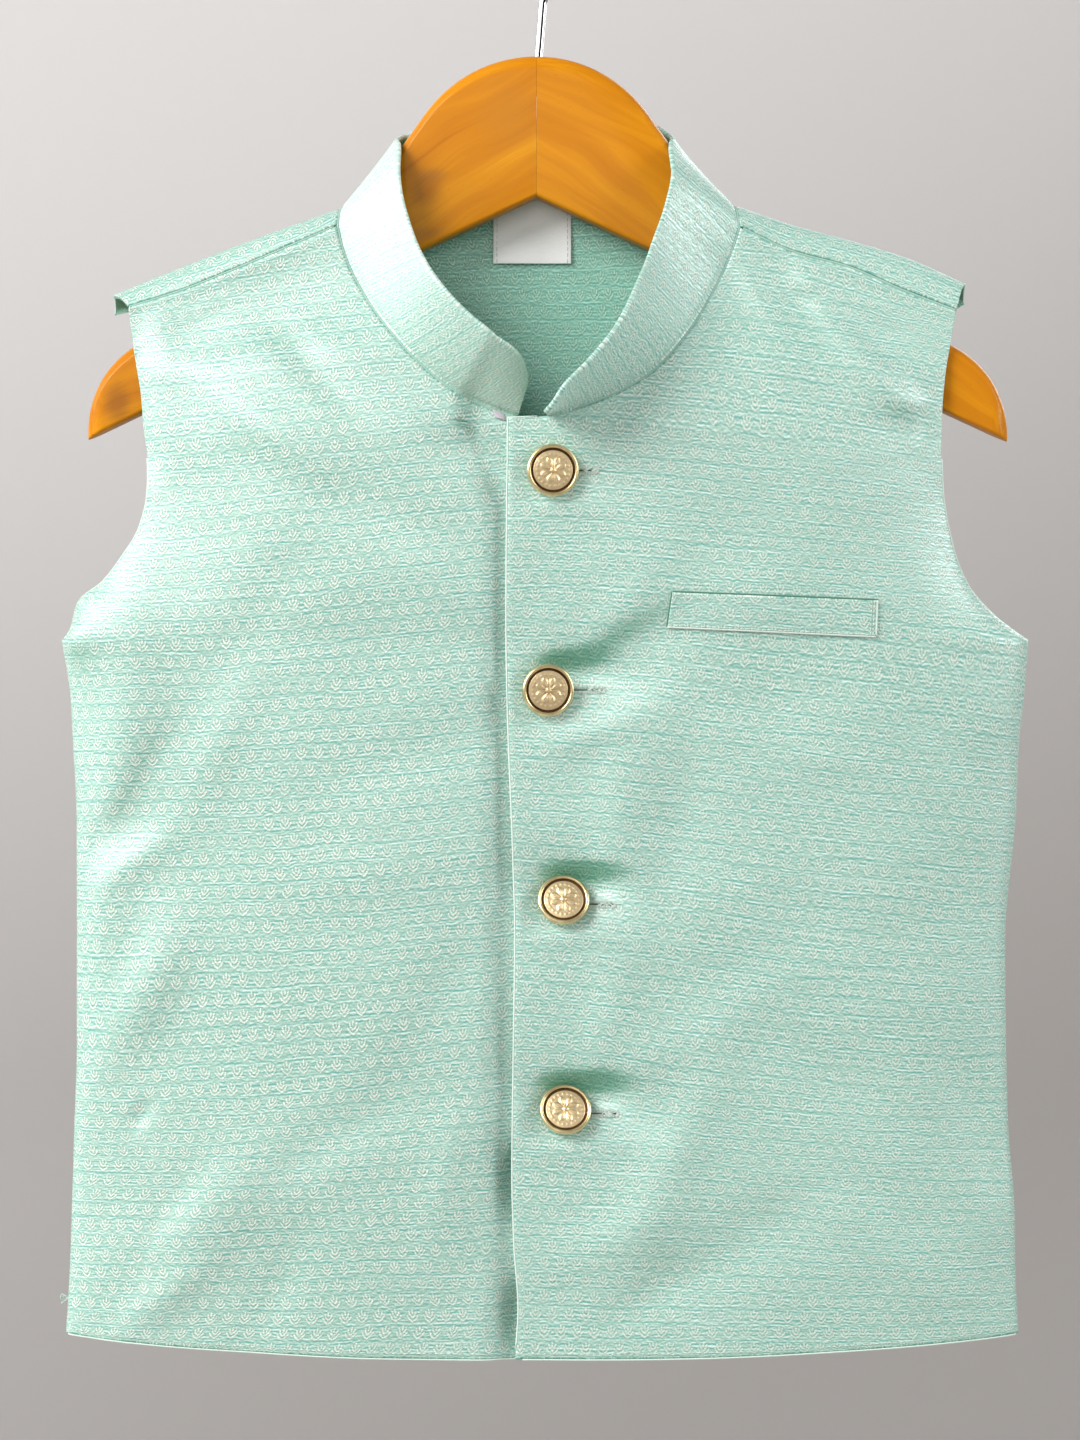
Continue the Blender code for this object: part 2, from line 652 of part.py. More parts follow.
def back_half(side):
    """Outside points and normals of half the back, from the hem over the shoulder."""
    columns = panel_columns(side)
    angles = np.linspace(-math.pi / 2, SEAM_ANGLE - SEAM_GAP_ANGLE, ROWS_OVER_SHOULDER + 1)[1:]
    over = np.stack([roll(side, columns, angle) for angle in angles])
    outer = np.concatenate([back_grid(side, BACK_LEVELS, columns), over])
    normals = -SIGN[side] * grid_normals(outer)
    flat_rows_end = len(BACK_LEVELS)
    normals[:flat_rows_end] = keep_on_own_side(
        outer[:flat_rows_end], normals[:flat_rows_end], side)
    normals[-1] = roll_normal(side, columns, SEAM_ANGLE)
    normals[:NECK_ROW + 1, 0, 0] = 0.0
    normals[:NECK_ROW + 1, 0] = unit(normals[:NECK_ROW + 1, 0])
    return outer, normals


# Solids

def material(name):
    colour, roughness, metallic = COLOURS[name]
    made = bpy.data.materials.get(name) or bpy.data.materials.new(name)
    made.use_nodes = True
    shader = made.node_tree.nodes["Principled BSDF"]
    shader.inputs["Base Color"].default_value = colour
    shader.inputs["Roughness"].default_value = roughness
    shader.inputs["Metallic"].default_value = metallic
    made.diffuse_color = colour
    return made


def make_object(name, verts, faces, finish, weld=False):
    """A mesh object from points in millimetres, its faces turned outwards."""
    mesh = bpy.data.meshes.new(name)
    mesh.from_pydata((np.array(verts) * MM).tolist(), [], faces)
    work = bmesh.new()
    work.from_mesh(mesh)
    if weld:
        bmesh.ops.remove_doubles(work, verts=work.verts, dist=WELD * MM)
    bmesh.ops.recalc_face_normals(work, faces=work.faces)
    work.to_mesh(mesh)
    work.free()
    made = bpy.data.objects.new(name, mesh)
    bpy.context.scene.collection.objects.link(made)
    mesh.materials.append(material(finish))
    mesh.shade_smooth()
    mesh.set_sharp_from_angle(angle=SHARP_EDGE)
    return made


def wall_faces(rows, cols, first, joined_rows=0):
    """Faces of a wall between two grids of points, the outer grid first.

    The edge at column 0 stays open over the joined rows, where another wall meets it.
    """
    inner = rows * cols
    faces = []
    for r in range(rows - 1):
        for c in range(cols - 1):
            a = r * cols + c
            for i, j, k in ((a, a + 1, a + cols + 1), (a, a + cols + 1, a + cols)):
                faces.append((i, j, k))
                faces.append((inner + k, inner + j, inner + i))
    border = list(range(cols))
    border += [r * cols + cols - 1 for r in range(1, rows)]
    border += [(rows - 1) * cols + c for c in range(cols - 2, -1, -1)]
    border += [r * cols for r in range(rows - 2, 0, -1)]
    for a, b in zip(border, border[1:] + border[:1]):
        on_joint = a % cols == 0 and b % cols == 0 and max(a, b) // cols <= joined_rows
        if not on_joint:
            faces.append((b, a, inner + a, inner + b))
    return [tuple(first + v for v in face) for face in faces]


def make_wall(name, sheets, wall, finish, joined_rows=0):
    """A cloth wall from sheets of outside points and normals."""
    verts, faces = [], []
    for outer, normals in sheets:
        rows, cols = outer.shape[:2]
        faces += wall_faces(rows, cols, len(verts), joined_rows)
        verts += outer.reshape(-1, 3).tolist()
        verts += (outer - wall * normals).reshape(-1, 3).tolist()
    return make_object(name, verts, faces, finish, weld=joined_rows > 0)


def make_rings(name, rings, finish):
    """A closed body through rings of points; a ring of one point closes an end."""
    verts, faces, starts = [], [], []
    for ring in rings:
        starts.append(len(verts))
        verts.extend(np.asarray(ring).tolist())
    for k in range(len(rings) - 1):
        low, high = starts[k], starts[k + 1]
        sides = max(len(rings[k]), len(rings[k + 1]))
        for i in range(sides):
            j = (i + 1) % sides
            if len(rings[k]) == 1:
                faces.append((low, high + j, high + i))
            elif len(rings[k + 1]) == 1:
                faces.append((low + i, low + j, high))
            else:
                faces.append((low + i, low + j, high + j, high + i))
    for ring, start in ((rings[0], starts[0]), (rings[-1], starts[-1])):
        if len(ring) > 1:
            faces.append(tuple(range(start, start + len(ring))))
    return make_object(name, verts, faces, finish)


def drop_on(outer, normals, x, z):
    """The point and normal of a panel's own triangles at x, z."""
    rows, cols = outer.shape[:2]
    for r in range(rows - 1):
        for c in range(cols - 1):
            for corners in (((r, c), (r, c + 1), (r + 1, c + 1)), ((r, c), (r + 1, c + 1), (r + 1, c))):
                p = np.array([outer[corner] for corner in corners])
                n = np.array([normals[corner] for corner in corners])
                flat = np.stack([p[:, 0], p[:, 2], np.ones(3)])
                if abs(np.linalg.det(flat)) > 1e-9:
                    share = np.linalg.solve(flat, (x, z, 1.0))
                    if share.min() > -1e-6:
                        return share @ p, unit(share @ n)
    raise ValueError("no cloth at this place")


# The pieces

def collar_half(side):
    """Half of the neck seam from the centre front: points, facing, place, turn and lean."""
    front, front_normals = FRONTS[side]
    back, back_normals = BACKS[side]
    shoulder = len(BACK_LEVELS) - 1
    pieces = (
        (front[COLLAR_ROW:, 0], front_normals[COLLAR_ROW:, 0]),
        (back[-2:shoulder - 1:-1, 0], back_normals[-2:shoulder - 1:-1, 0]),
        (back[shoulder - 1:NECK_ROW - 1:-1, 0], back_normals[shoulder - 1:NECK_ROW - 1:-1, 0]),
    )
    edge = np.concatenate([piece[0] for piece in pieces])
    facing = np.concatenate([piece[1] for piece in pieces])
    run = distances(edge)
    ends = np.cumsum([len(piece[0]) for piece in pieces]) - 1
    place = np.interp(run, (0.0, *run[ends]), (0.0, 1.0, 2.0, 3.0))
    turn = np.radians(track(COLLAR[side], "turn", place, "place"))
    lean = np.radians(track(COLLAR[side], "lean", place, "place"))
    inward = -SIGN[side] * np.cos(turn) * np.cos(lean)
    band = np.stack([inward, -np.sin(lean), np.sin(turn) * np.cos(lean)], axis=1)
    return edge, facing, band


def spread_along(at, reach):
    """Weights that average values over a reach along a seam."""
    weights = np.exp(-((at[:, None] - at[None]) / reach) ** 2) * np.gradient(at)
    return weights / weights.sum(axis=1, keepdims=True)


def make_collar():
    """The band: sewn to the neck edges, turned up and towards the front, with round ends."""
    right, left = collar_half(RIGHT), collar_half(LEFT)
    edge, facing, band = (np.concatenate([r, l[-2::-1]]) for r, l in zip(right, left))
    run = distances(edge)
    from_end = COLLAR_CORNER * np.array([0.0, 0.06, 0.2, 0.45, 0.75, 1.0])
    inner = run[(run > from_end[-1] + 3.0) & (run < run[-1] - from_end[-1] - 3.0)]
    at = np.concatenate([from_end, inner, run[-1] - from_end[::-1]])
    edge, facing, band = (
        np.stack([np.interp(at, run, rows[:, k]) for k in range(3)], axis=1)
        for rows in (edge, facing, band)
    )
    facing, band = unit(facing), unit(band)
    eased = spread_along(at, BAND_EASE) @ (edge + COLLAR_HEIGHT * band)
    from_front = np.minimum(at, at[-1] - at)
    share = smooth((from_front - COLLAR_CORNER) / COLLAR_HEIGHT)[:, None]
    band = unit(band * (1.0 - share) + unit(eased - edge) * share)
    seam = unit(np.gradient(edge, at, axis=0))
    inward = unit(np.cross(seam, facing))
    to_end = np.minimum(np.minimum(at, at[-1] - at), COLLAR_CORNER)
    corner = np.sqrt(COLLAR_CORNER**2 - (COLLAR_CORNER - to_end) ** 2)
    height = COLLAR_HEIGHT - COLLAR_CORNER + corner
    share = np.linspace(0.0, 1.0, COLLAR_ROWS + 1)[:, None, None]
    outer = (edge + NECK_GAP * inward)[None] + share * height[:, None] * band
    normals = -grid_normals(outer)
    normals[1:] = unit(spread_along(at, NORMAL_EASE) @ normals[1:])
    normals[0] = facing
    under = outer - COLLAR_WALL * normals
    lift = COLLAR_ROOM - over_hanger(*np.moveaxis(under, 2, 0))
    near = np.abs(under[:, :, 1]) < HANGER_THICKNESS / 2 + GAP
    outer[:, :, 2] += np.where(near, np.maximum(lift, 0.0), 0.0)
    make_wall("collar", [(outer, normals)], COLLAR_WALL, "cloth")


def make_welt():
    """The chest welt: its points are the left front's own, moved out."""
    corner = {row.corner: np.array([row.x, row.z]) for row in WELT}
    cols, rows = WELT_CELLS
    outer = np.zeros((rows + 1, cols + 1, 3))
    normals = np.zeros_like(outer)
    for r in range(rows + 1):
        for c in range(cols + 1):
            up, out = r / rows, c / cols
            inner = corner["inner_low"] * (1 - up) + corner["inner_high"] * up
            outside = corner["outer_low"] * (1 - up) + corner["outer_high"] * up
            point, normal = drop_on(*FRONTS[LEFT], *(inner * (1 - out) + outside * out))
            outer[r, c] = point + (SEAT_GAP + WELT_WALL) * normal
            normals[r, c] = normal
    make_wall("pocket_welt", [(outer, normals)], WELT_WALL, "cloth")


def make_label():
    """The neck label hangs inside the back from just below the neck seam."""
    low, high = LABEL["x"]
    inside = {}
    for x in (low, 0.0, high):
        side = LEFT if x > 0.0 else RIGHT
        for z in (LABEL["top"], LABEL["bottom"]):
            point, normal = drop_on(*BACKS[side], x, z)
            inside[x, z] = point - (WALL + GAP) * normal
    outer = np.array([[inside[x, z] for x in (low, 0.0, high)]
                      for z in (LABEL["bottom"], LABEL["top"])])
    normals = np.tile(np.array([0.0, 1.0, 0.0]), (2, 3, 1))
    make_wall("label", [(outer, normals)], LABEL_WALL, "label")


def button_place(row):
    """The face of the left front at a button, with axes across, up and out of it."""
    point, out = drop_on(*FRONTS[LEFT], row.x, row.z)
    across = unit(np.cross((0.0, 0.0, 1.0), -out))
    across = across * np.sign(across[0])
    up = unit(np.cross(across, -out))
    up = up * np.sign(up[2])
    return point, across, up, out


def make_button(number, row):
    """A turned metal button that tilts on its shank, which goes through the buttonhole."""
    point, across, up, out = button_place(row)
    tilt_up, tilt_right = math.radians(row.tilt_up), math.radians(row.tilt_right)
    facing = unit(out + up * math.tan(tilt_up) + across * math.tan(tilt_right))
    right = unit(across - facing * np.dot(across, facing))
    above = np.cross(facing, right)
    above = above * np.sign(above[2])
    hinge = point + BUTTON_HINGE * out
    turns = np.arange(BUTTON_SIDES) * 2 * math.pi / BUTTON_SIDES
    rings = []
    for ring in BUTTON_PROFILE:
        if ring.height < BUTTON_HINGE:
            middle, one, two = point + ring.height * out, across, up
        else:
            middle, one, two = hinge + (ring.height - BUTTON_HINGE) * facing, right, above
        if ring.radius == 0.0:
            rings.append([middle])
        else:
            circle = np.cos(turns)[:, None] * one + np.sin(turns)[:, None] * two
            rings.append(middle + ring.radius * circle)
    make_rings(f"button_{number}", rings, "brass")


def cut_buttonhole(front, number, row):
    """A level slot through the left front for a button's shank."""
    point, across, up, out = button_place(row)
    low, high = BUTTONHOLE_REACH
    half = BUTTONHOLE_HEIGHT / 2
    verts = [point + across * a + up * b + out * c
             for c in (-CUT_DEPTH, CUT_DEPTH) for b in (-half, half) for a in (low, high)]
    faces = [(0, 1, 3, 2), (4, 6, 7, 5), (0, 4, 5, 1), (2, 3, 7, 6), (0, 2, 6, 4), (1, 5, 7, 3)]
    cut(front, make_object(f"buttonhole_cutter_{number}", verts, faces, "steel"))


def cut(target, cutter):
    """Takes the cutter's shape out of the target and hides the cutter."""
    cutter.hide_render = True
    cutter.display_type = "WIRE"
    change = target.modifiers.new(cutter.name, "BOOLEAN")
    change.operation = "DIFFERENCE"
    change.object = cutter


def hanger_ring(x, low, high, half):
    """An upright section of the hanger with its edges rounded."""
    ring = []
    room = (high - low) / 2
    corners = (
        (1, 1, min(ARM_ROUND, room, half)),
        (-1, 1, min(ARM_ROUND, room, half)),
        (-1, -1, min(ARM_EASE, room, half)),
        (1, -1, min(ARM_EASE, room, half)),
    )
    for (y_sign, z_sign, radius), start in zip(corners, (0.0, 90.0, 180.0, 270.0)):
        middle_y = y_sign * (half - radius * 0.999)
        middle_z = (high if z_sign > 0 else low) - z_sign * radius * 0.999
        for step in range(CORNER_STEPS + 1):
            angle = math.radians(start + 90.0 * step / CORNER_STEPS)
            ring.append((x, middle_y + radius * math.cos(angle), middle_z + radius * math.sin(angle)))
    return ring


def make_hanger_half(side):
    """One arm of the hanger, from the joint out to its rounded end."""
    tip = UNDERSIDE[side][-1].out
    turn = np.linspace(0.0, 1.0, HANGER_STATIONS)
    out = GAP / 2 + (tip - GAP / 2) * (1.0 - (1.0 - turn) ** STATION_CLUSTER)
    high = hanger_top(side, out)
    low = np.interp(out, column(UNDERSIDE[side], "out"), column(UNDERSIDE[side], "z"))
    taper = np.clip((out - (tip - END_TAPER)) / END_TAPER, 0.0, 1.0)
    half = HANGER_THICKNESS / 2 * np.sqrt(1.0 - 0.85 * taper**2)
    rings = [hanger_ring(HANGER_X + SIGN[side] * o, l, h, w)
             for o, l, h, w in zip(out, low, high, half)]
    arm = make_rings("hanger_" + side, rings, "wood")
    bore = make_rings(f"bore_cutter_{side}", [
        [(STEM_X + (WIRE_RADIUS + GAP) * math.cos(a), (WIRE_RADIUS + GAP) * math.sin(a), z)
         for a in np.arange(BORE_SIDES) * 2 * math.pi / BORE_SIDES]
        for z in (HANGER_TOP_Z - STEM_DEPTH, HANGER_TOP_Z + STEM_DEPTH)
    ], "steel")
    cut(arm, bore)


def make_hook():
    """Bent wire: an upright stem, a tight bend, and the hook round the rail."""
    ring = HOOK_RADIUS + WIRE_RADIUS
    join = math.radians(HOOK_JOIN)
    join_x, join_z = ring * math.cos(join), -HOOK_RADIUS + ring * math.sin(join)
    turn = math.pi / 2 + join
    bend_x = join_x - HOOK_BEND * (1.0 - math.cos(math.pi / 2 - turn))
    bend_z = join_z - HOOK_BEND * math.sin(math.pi / 2 - turn)
    wire = [(STEM_X, HANGER_TOP_Z - STEM_DEPTH + GAP), (STEM_X, HANGER_TOP_Z + 1.0)]
    wire += [(STEM_X + (bend_x - STEM_X) * s, HANGER_TOP_Z + (bend_z - HANGER_TOP_Z) * s)
             for s in (0.2, 0.5, 0.8)]
    for step in range(6):
        angle = (math.pi / 2 - turn) * step / 6
        wire.append((bend_x + HOOK_BEND * (1.0 - math.cos(angle)), bend_z + HOOK_BEND * math.sin(angle)))
    for angle in np.linspace(join, math.radians(HOOK_END), HOOK_STEPS):
        wire.append((ring * math.cos(angle), -HOOK_RADIUS + ring * math.sin(angle)))
    wire = np.array(wire)
    run = unit(np.gradient(wire, axis=0))
    turns = np.arange(WIRE_SIDES) * 2 * math.pi / WIRE_SIDES
    rings = []
    for (x, z), (run_x, run_z) in zip(wire, run):
        side_x, side_z = -run_z, run_x
        rings.append([
            (x + WIRE_RADIUS * math.cos(a) * side_x, WIRE_RADIUS * math.sin(a),
             z + WIRE_RADIUS * math.cos(a) * side_z)
            for a in turns
        ])
    make_rings("hook", rings, "steel")


for old in list(bpy.data.objects):
    bpy.data.objects.remove(old, do_unlink=True)

FRONTS = {side: front_panel(side) for side in (RIGHT, LEFT)}
BACKS = {side: back_half(side) for side in (RIGHT, LEFT)}
make_wall("right_front", [FRONTS[RIGHT]], WALL, "cloth")
left_front = make_wall("left_front", [FRONTS[LEFT]], WALL, "cloth")
make_wall("back", [BACKS[RIGHT], BACKS[LEFT]], WALL, "cloth", joined_rows=NECK_ROW)
make_collar()
make_welt()
make_label()
for button_number, button in enumerate(BUTTONS, start=1):
    make_button(button_number, button)
    cut_buttonhole(left_front, button_number, button)
for hanger_side in (RIGHT, LEFT):
    make_hanger_half(hanger_side)
make_hook()
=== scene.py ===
"""Looks of a child's nehru jacket on its wooden hanger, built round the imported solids.

The tables and surfaces are those of the solids, so every piece lies in its own solid. Here
they are much finer, and smaller folds are added. Lengths are millimetres up to the meshes,
which are in metres. The front of the jacket faces -Y.
"""

import math
from collections import namedtuple

import bmesh
import bpy
import numpy as np
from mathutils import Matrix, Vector


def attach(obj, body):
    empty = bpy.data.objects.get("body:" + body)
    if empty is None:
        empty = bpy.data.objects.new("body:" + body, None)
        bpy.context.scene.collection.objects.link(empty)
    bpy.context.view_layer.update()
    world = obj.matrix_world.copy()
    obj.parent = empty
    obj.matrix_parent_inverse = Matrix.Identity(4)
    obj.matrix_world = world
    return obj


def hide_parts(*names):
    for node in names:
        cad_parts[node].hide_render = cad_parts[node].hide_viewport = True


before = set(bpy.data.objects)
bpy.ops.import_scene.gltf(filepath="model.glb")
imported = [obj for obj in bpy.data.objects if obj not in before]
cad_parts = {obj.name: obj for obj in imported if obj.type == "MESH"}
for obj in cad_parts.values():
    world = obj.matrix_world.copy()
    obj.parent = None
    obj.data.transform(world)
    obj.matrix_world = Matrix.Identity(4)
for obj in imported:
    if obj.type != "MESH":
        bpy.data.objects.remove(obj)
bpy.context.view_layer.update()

MM = 0.001
FINE = 1

# Driving dimensions, in millimetres.
WALL = 1.6                # cloth of the body
COLLAR_WALL = 1.8
GAP = 0.3                 # between neighbouring pieces
LAYER_GAP = 0.7           # between the two fronts where they overlap
UNDERLAP_X = 14.4         # centre edge of the right front, under the left front
UNDERLAP_RAMP = (-21.0, -14.5)   # where the right front dips under the left one
UNDERLAP_EARLY = 9.0      # and how much earlier it does so at the top
UNDERLAP_FOLD = 1.3       # the under layer's folds, as a share of the upper layer's
COLLAR_HEIGHT = 31.0
COLLAR_CORNER = 11.0      # radius of the band's left end
COLLAR_ROUND = 16.0       # and of its right end, which curls in
COLLAR_CURL = (26.0, 5.0)        # how far along the band the curl reaches, and how deep it is
BAND_STEP = 2.0           # distance between its columns
END_STEPS = np.array([0.0, 0.012, 0.05, 0.11, 0.2, 0.32, 0.45, 0.6, 0.8, 1.0])   # at its ends
HEM_BOW = 2.6             # how far each hem hangs below a straight line
SECTION_POWER = 4.0       # how square the body is in plan
BACK_NECK_Z = -108.5
UNDERARM_Z = -260.0
CENTRE_BACK_HEM_Z = -509.5

HANGER_X = -2.6           # the joint between the hanger's halves
HANGER_THICKNESS = 12.0
HANGER_TOP_Z = -57.0
HUMP_RADIUS = 47.5
HUMP_FLANK = math.radians(54.5)
ARM_Z = -157.4
ARM_SLOPE = math.radians(31.0)
ARM_ROUND = 5.0           # radius along the top edges of the hanger
ARM_EASE = 1.5            # radius along its bottom edges
ARM_BLEND = 0.9           # softens the hollow between the hump and each arm
END_RADIUS = 34.0
END_TAPER = 6.0           # length over which the ends get thinner
END_THIN = 0.9            # and by how much
JOINT_ROOM = 0.03         # from the joint to each half
BOARD_APART = 300.0       # the halves have different grain
CORNER = 0.999            # keeps two rounded corners from meeting at one point
WIRE_RADIUS = 1.45
HOOK_RADIUS = 16.0        # inside radius of the hook
HOOK_BEND = 6.8           # radius of the bend between stem and hook
HOOK_JOIN = -75.0         # where the bend meets the hook's ring, in degrees
HOOK_END = 205.0
STEM_X = -1.9
STEM_DEPTH = 14.0         # how far the stem goes into the hanger
STEM_STEPS = (0.2, 0.35, 0.5, 0.65, 0.8, 0.9)
TIP_STEPS = (0.5, 0.85, 1.0)             # where the wire's tip is rounded

RIGHT, LEFT = "right", "left"
SIGN = {RIGHT: -1.0, LEFT: 1.0}


def table(columns, text):
    """Rows of numbers as records, so that each number is read by its column's name."""
    record = namedtuple("Row", columns)
    return [record(*map(float, row.split())) for row in text.split(",")]


# Half widths of the body at the side seams, from the hem up to the underarm.
SIDE_SEAM = table("z right left", """
    -501 166.3 165, -480 165 164, -457 164.2 163.6, -430 163.4 161.5, -400 162.5 160.7,
    -364 162.5 160.4, -322 162.6 164, -295 163.9 165.3, -279 164.8 167, -260 167.7 168.5""")
# Armhole edges, from the underarm up to the shoulder seam.
ARMHOLE = table("right_x right_z left_x left_z", """
    167.7 -260 168.5 -260, 158.6 -252.3 156 -250.5, 148.5 -244.6 147 -240.5,
    141.8 -233.5 142.2 -229.5, 137.3 -221.5 139.5 -217.5, 135.8 -210 138.1 -206,
    137.2 -198 137.7 -194, 138.8 -186 138 -181, 139.7 -175 139 -169, 141.3 -165 140.6 -158.5,
    144.1 -144.6 143 -146""")
ARMHOLE_AT_NECK = 0.60    # fraction of the armhole level with the front neck
# Centre edges: of the left front, which lies on top, and of the right front's underlap.
PLACKET = table("x z", """
    -10 -508.5, -8.9 -491, -10.3 -469, -11 -445, -10.6 -408, -10 -360, -10.6 -336, -12.4 -288,
    -13 -255, -12.4 -184.2""")
UNDERLAP = table("x z", f"{UNDERLAP_X} -508.5, {UNDERLAP_X} -260, {UNDERLAP_X} -186")

# Front necklines, from the collar's end up to the shoulder seam.
NECKLINE = {
    RIGHT: table("x z", """
    -9 -184, -16.9 -181.7, -23.8 -178.6, -33.7 -173.1, -42 -166.2, -49.6 -158.3, -61.3 -142.5,
    -69.5 -125.6, -71.7 -116.4"""),
    LEFT: table("x z", """
    1 -183.4, 8.6 -181.8, 22.3 -176.8, 36.5 -168.8, 47.8 -156.8, 61.2 -134.6, 66 -123,
    67.9 -117"""),
}
# The top of each shoulder, where the back folds over, and the forward seam, from neck to tip.
SHOULDER = {
    RIGHT: table("fold_x fold_z seam_x seam_z", """
    71 -109.8 71.7 -116.4, 91 -116.8 90 -124.3, 111 -124.2 108 -131.9, 131 -132 126 -139,
    150 -139.8 144.1 -144.6"""),
    LEFT: table("fold_x fold_z seam_x seam_z", """
    66.4 -108.8 67.9 -117, 86 -115.4 86.5 -125.6, 106 -120.8 105.5 -130.8,
    126.5 -127 124.5 -139, 146.9 -136 143 -146"""),
}
SEAM_ANGLE = math.radians(70.0)      # how far in front of the fold the shoulder seam lies
SEAM_GAP_ANGLE = GAP / 9.0
ROLL_TIP_DEPTH = 7.6                 # half depth of the folded shoulder at its tip
ROLL_NECK_DEPTH = (HANGER_THICKNESS / 2 + GAP + COLLAR_WALL) / math.sin(SEAM_ANGLE)
ROLL_BACK_DROP = 7.5                 # height of the fold's rounding at the back
NECK_BACK_DROP = 2.0                 # the same at the neck, where the fold is flatter
NECK_ROUND = 10.0                    # how far the neck edge curves in behind the fold
NECK_SHARE = 0.6                     # part of the shoulder over which these two fade out
SHOULDER_TIP_BACK = 1.5              # how far the back's armhole lies inside the front's

# How far the outside stands from the middle plane. Level 0 is the hem, 1 the underarm, 2 the
# bottom of the neck and 3 the shoulder. The edge column holds for the side seam or armhole.
FRONT_DEPTH = table("level centre edge power", """
    0 13 0.15 0.5, 0.35 16 0.15 0.5, 0.7 19.5 0.15 0.5, 1 22.5 0.15 0.5, 1.35 25 5.5 0.7,
    2 27 9.5 1, 2.5 23 9 1, 3 10 6 1""")
BACK_DEPTH = table("level centre edge power", """
    0 9 0.15 0.5, 0.5 11 0.15 0.5, 1 12.5 0.15 0.5, 1.35 12.5 4 0.7, 2 12 7.5 1, 3 11 6.4 1""")
BACK_NECK = table("x z", """
    0 -108.5, 24 -108.7, 42 -109.5, 54 -110.7, 58.7 -111.3""")

# Folds and hollows. Slant is the angle from level; a negative depth is a ridge.
FOLD = "x z length width slant depth"
FRONT_FOLDS = table(FOLD, """
    5 -264 15 8 0 2.5, 8.5 -338 15 8.5 4 4.5, 9.5 -411 15 8.5 4 4.5, 26 -258 26 9 42 1.6,
    -25 -195 16 7 -38 1.6, 84 -131 16 6 -58 2.2, 112 -146 26 7 -55 1.8, 126 -187 22 8 6 1.6,
    -148 -328 22 8 48 2.2, -144 -392 20 9 62 -1.8, -110 -452 46 12 34 -2.2,
    -68 -430 46 12 28 1.8, 148 -420 34 10 -68 2.2, 118 -470 40 11 -40 -1.8,
    44 -440 42 10 66 -1.8""")
BACK_FOLDS = table(FOLD, """
    -62 -170 44 11 -32 1.8, 58 -166 40 10 35 1.6, -118 -300 40 12 52 1.8,
    122 -318 36 11 -48 1.6, -74 -440 52 13 64 -2, 30 -430 58 13 84 1.8, 96 -458 40 12 -62 -1.8""")

# The collar band. Place 0 is its end at the centre front, 1 the shoulder seam, 2 the back of the
# shoulder and 3 the centre back. Turn is the angle of the band from level, inwards and up, and
# lean is the angle at which it leans to the front.
COLLAR = {
    RIGHT: table("place turn lean", """
    0 71 46.5, 0.16 63 48, 0.28 61 44, 0.5 58 42, 0.71 51 35, 0.9 46 25, 1 46 21, 1.5 54 7,
    2 68 0, 2.3 80 3, 3 90 6"""),
    LEFT: table("place turn lean", """
    0 90 94, 0.08 70 80, 0.22 58 68, 0.39 53 54, 0.55 48 42, 0.81 42 27, 0.94 41 22, 1 41 20,
    1.5 47 7, 2 68 0, 2.3 80 3, 3 90 6"""),
}
NECK_GAP = 0.4            # between the band and the neck edges
BAND_EASE = 10.0          # how far its turns are spread along the seam
NORMAL_EASE = 4.0
BAND_BIAS = 0.46          # how far its threads lean near its right end
BAND_BIAS_FADE = (120.0, 60.0)           # distances from that end where they stop leaning
COLLAR_ROOM = 0.7         # height of the band's inside above the hanger

BUTTONS = table("x z tilt_up tilt_right", """
    2.4 -202.3 2 9, 0.7 -277.4 -4 7, 6.5 -351.2 15 3, 7.1 -423.6 13 4""")
# A button's turned shape, as radius and height over the cloth. Points below the hinge belong to
# the straight shank, and the others tilt with the button. Groove and face start at these points.
BUTTON_RINGS = table("radius height", """
    0.7 -1.75, 0.7 0.6, 0.7 3.1, 1.4 3.22, 7.2 3.28, 7.9 3.42, 8.5 3.8, 8.85 4.3, 9 4.9,
    8.97 5.35, 8.8 5.75, 8.5 6.02, 8.15 6.1, 7.85 5.98, 7.66 5.7, 7.52 5.2, 7.3 5.02,
    7.05 5.05, 6.86 5.3, 6.75 5.5, 6.55 5.56""")
BUTTON_HINGE = 1.0        # height over the cloth
GROOVE_START = 14
FACE_START = 18
FACE_HEIGHT = 5.55
FACE_CROWN = 0.35
FACE_RADIUS = 6.6
BUTTON_TURNS = 96 // FINE
WIRE_SIDES = 28
PETALS = 8
PETAL_REACH = (1.0, 4.6)
PETAL_HEIGHT, VEIN_DEPTH = 0.42, 0.16
BOSS_RADIUS, BOSS_HEIGHT = 0.85, 0.5     # the flower's middle
BEADS = 22
BEAD_PLACE, BEAD_WIDTH, BEAD_HEIGHT = 5.5, 0.34, 0.22
HOLE_START = 4.0          # where each buttonhole's stitches start beside its button's middle
HOLE_ENDS = (16.0, 20.0, 18.0, 18.4)     # and where they end
HOLE_PITCH = 0.42
HOLE_BAR = 0.6            # from the slit's end to the outside of the stitches round it
# Distances of a stitch's points from the slit and their heights, along its sides and its end.
HOLE_SIDE = ((0.25, 0.7, 1.15, 1.5), (-0.15, 0.22, 0.2, -0.2))
HOLE_END = ((0.1, 0.6, 1.1, 1.5), (-0.1, 0.25, 0.2, -0.2))
FRAYS = 9

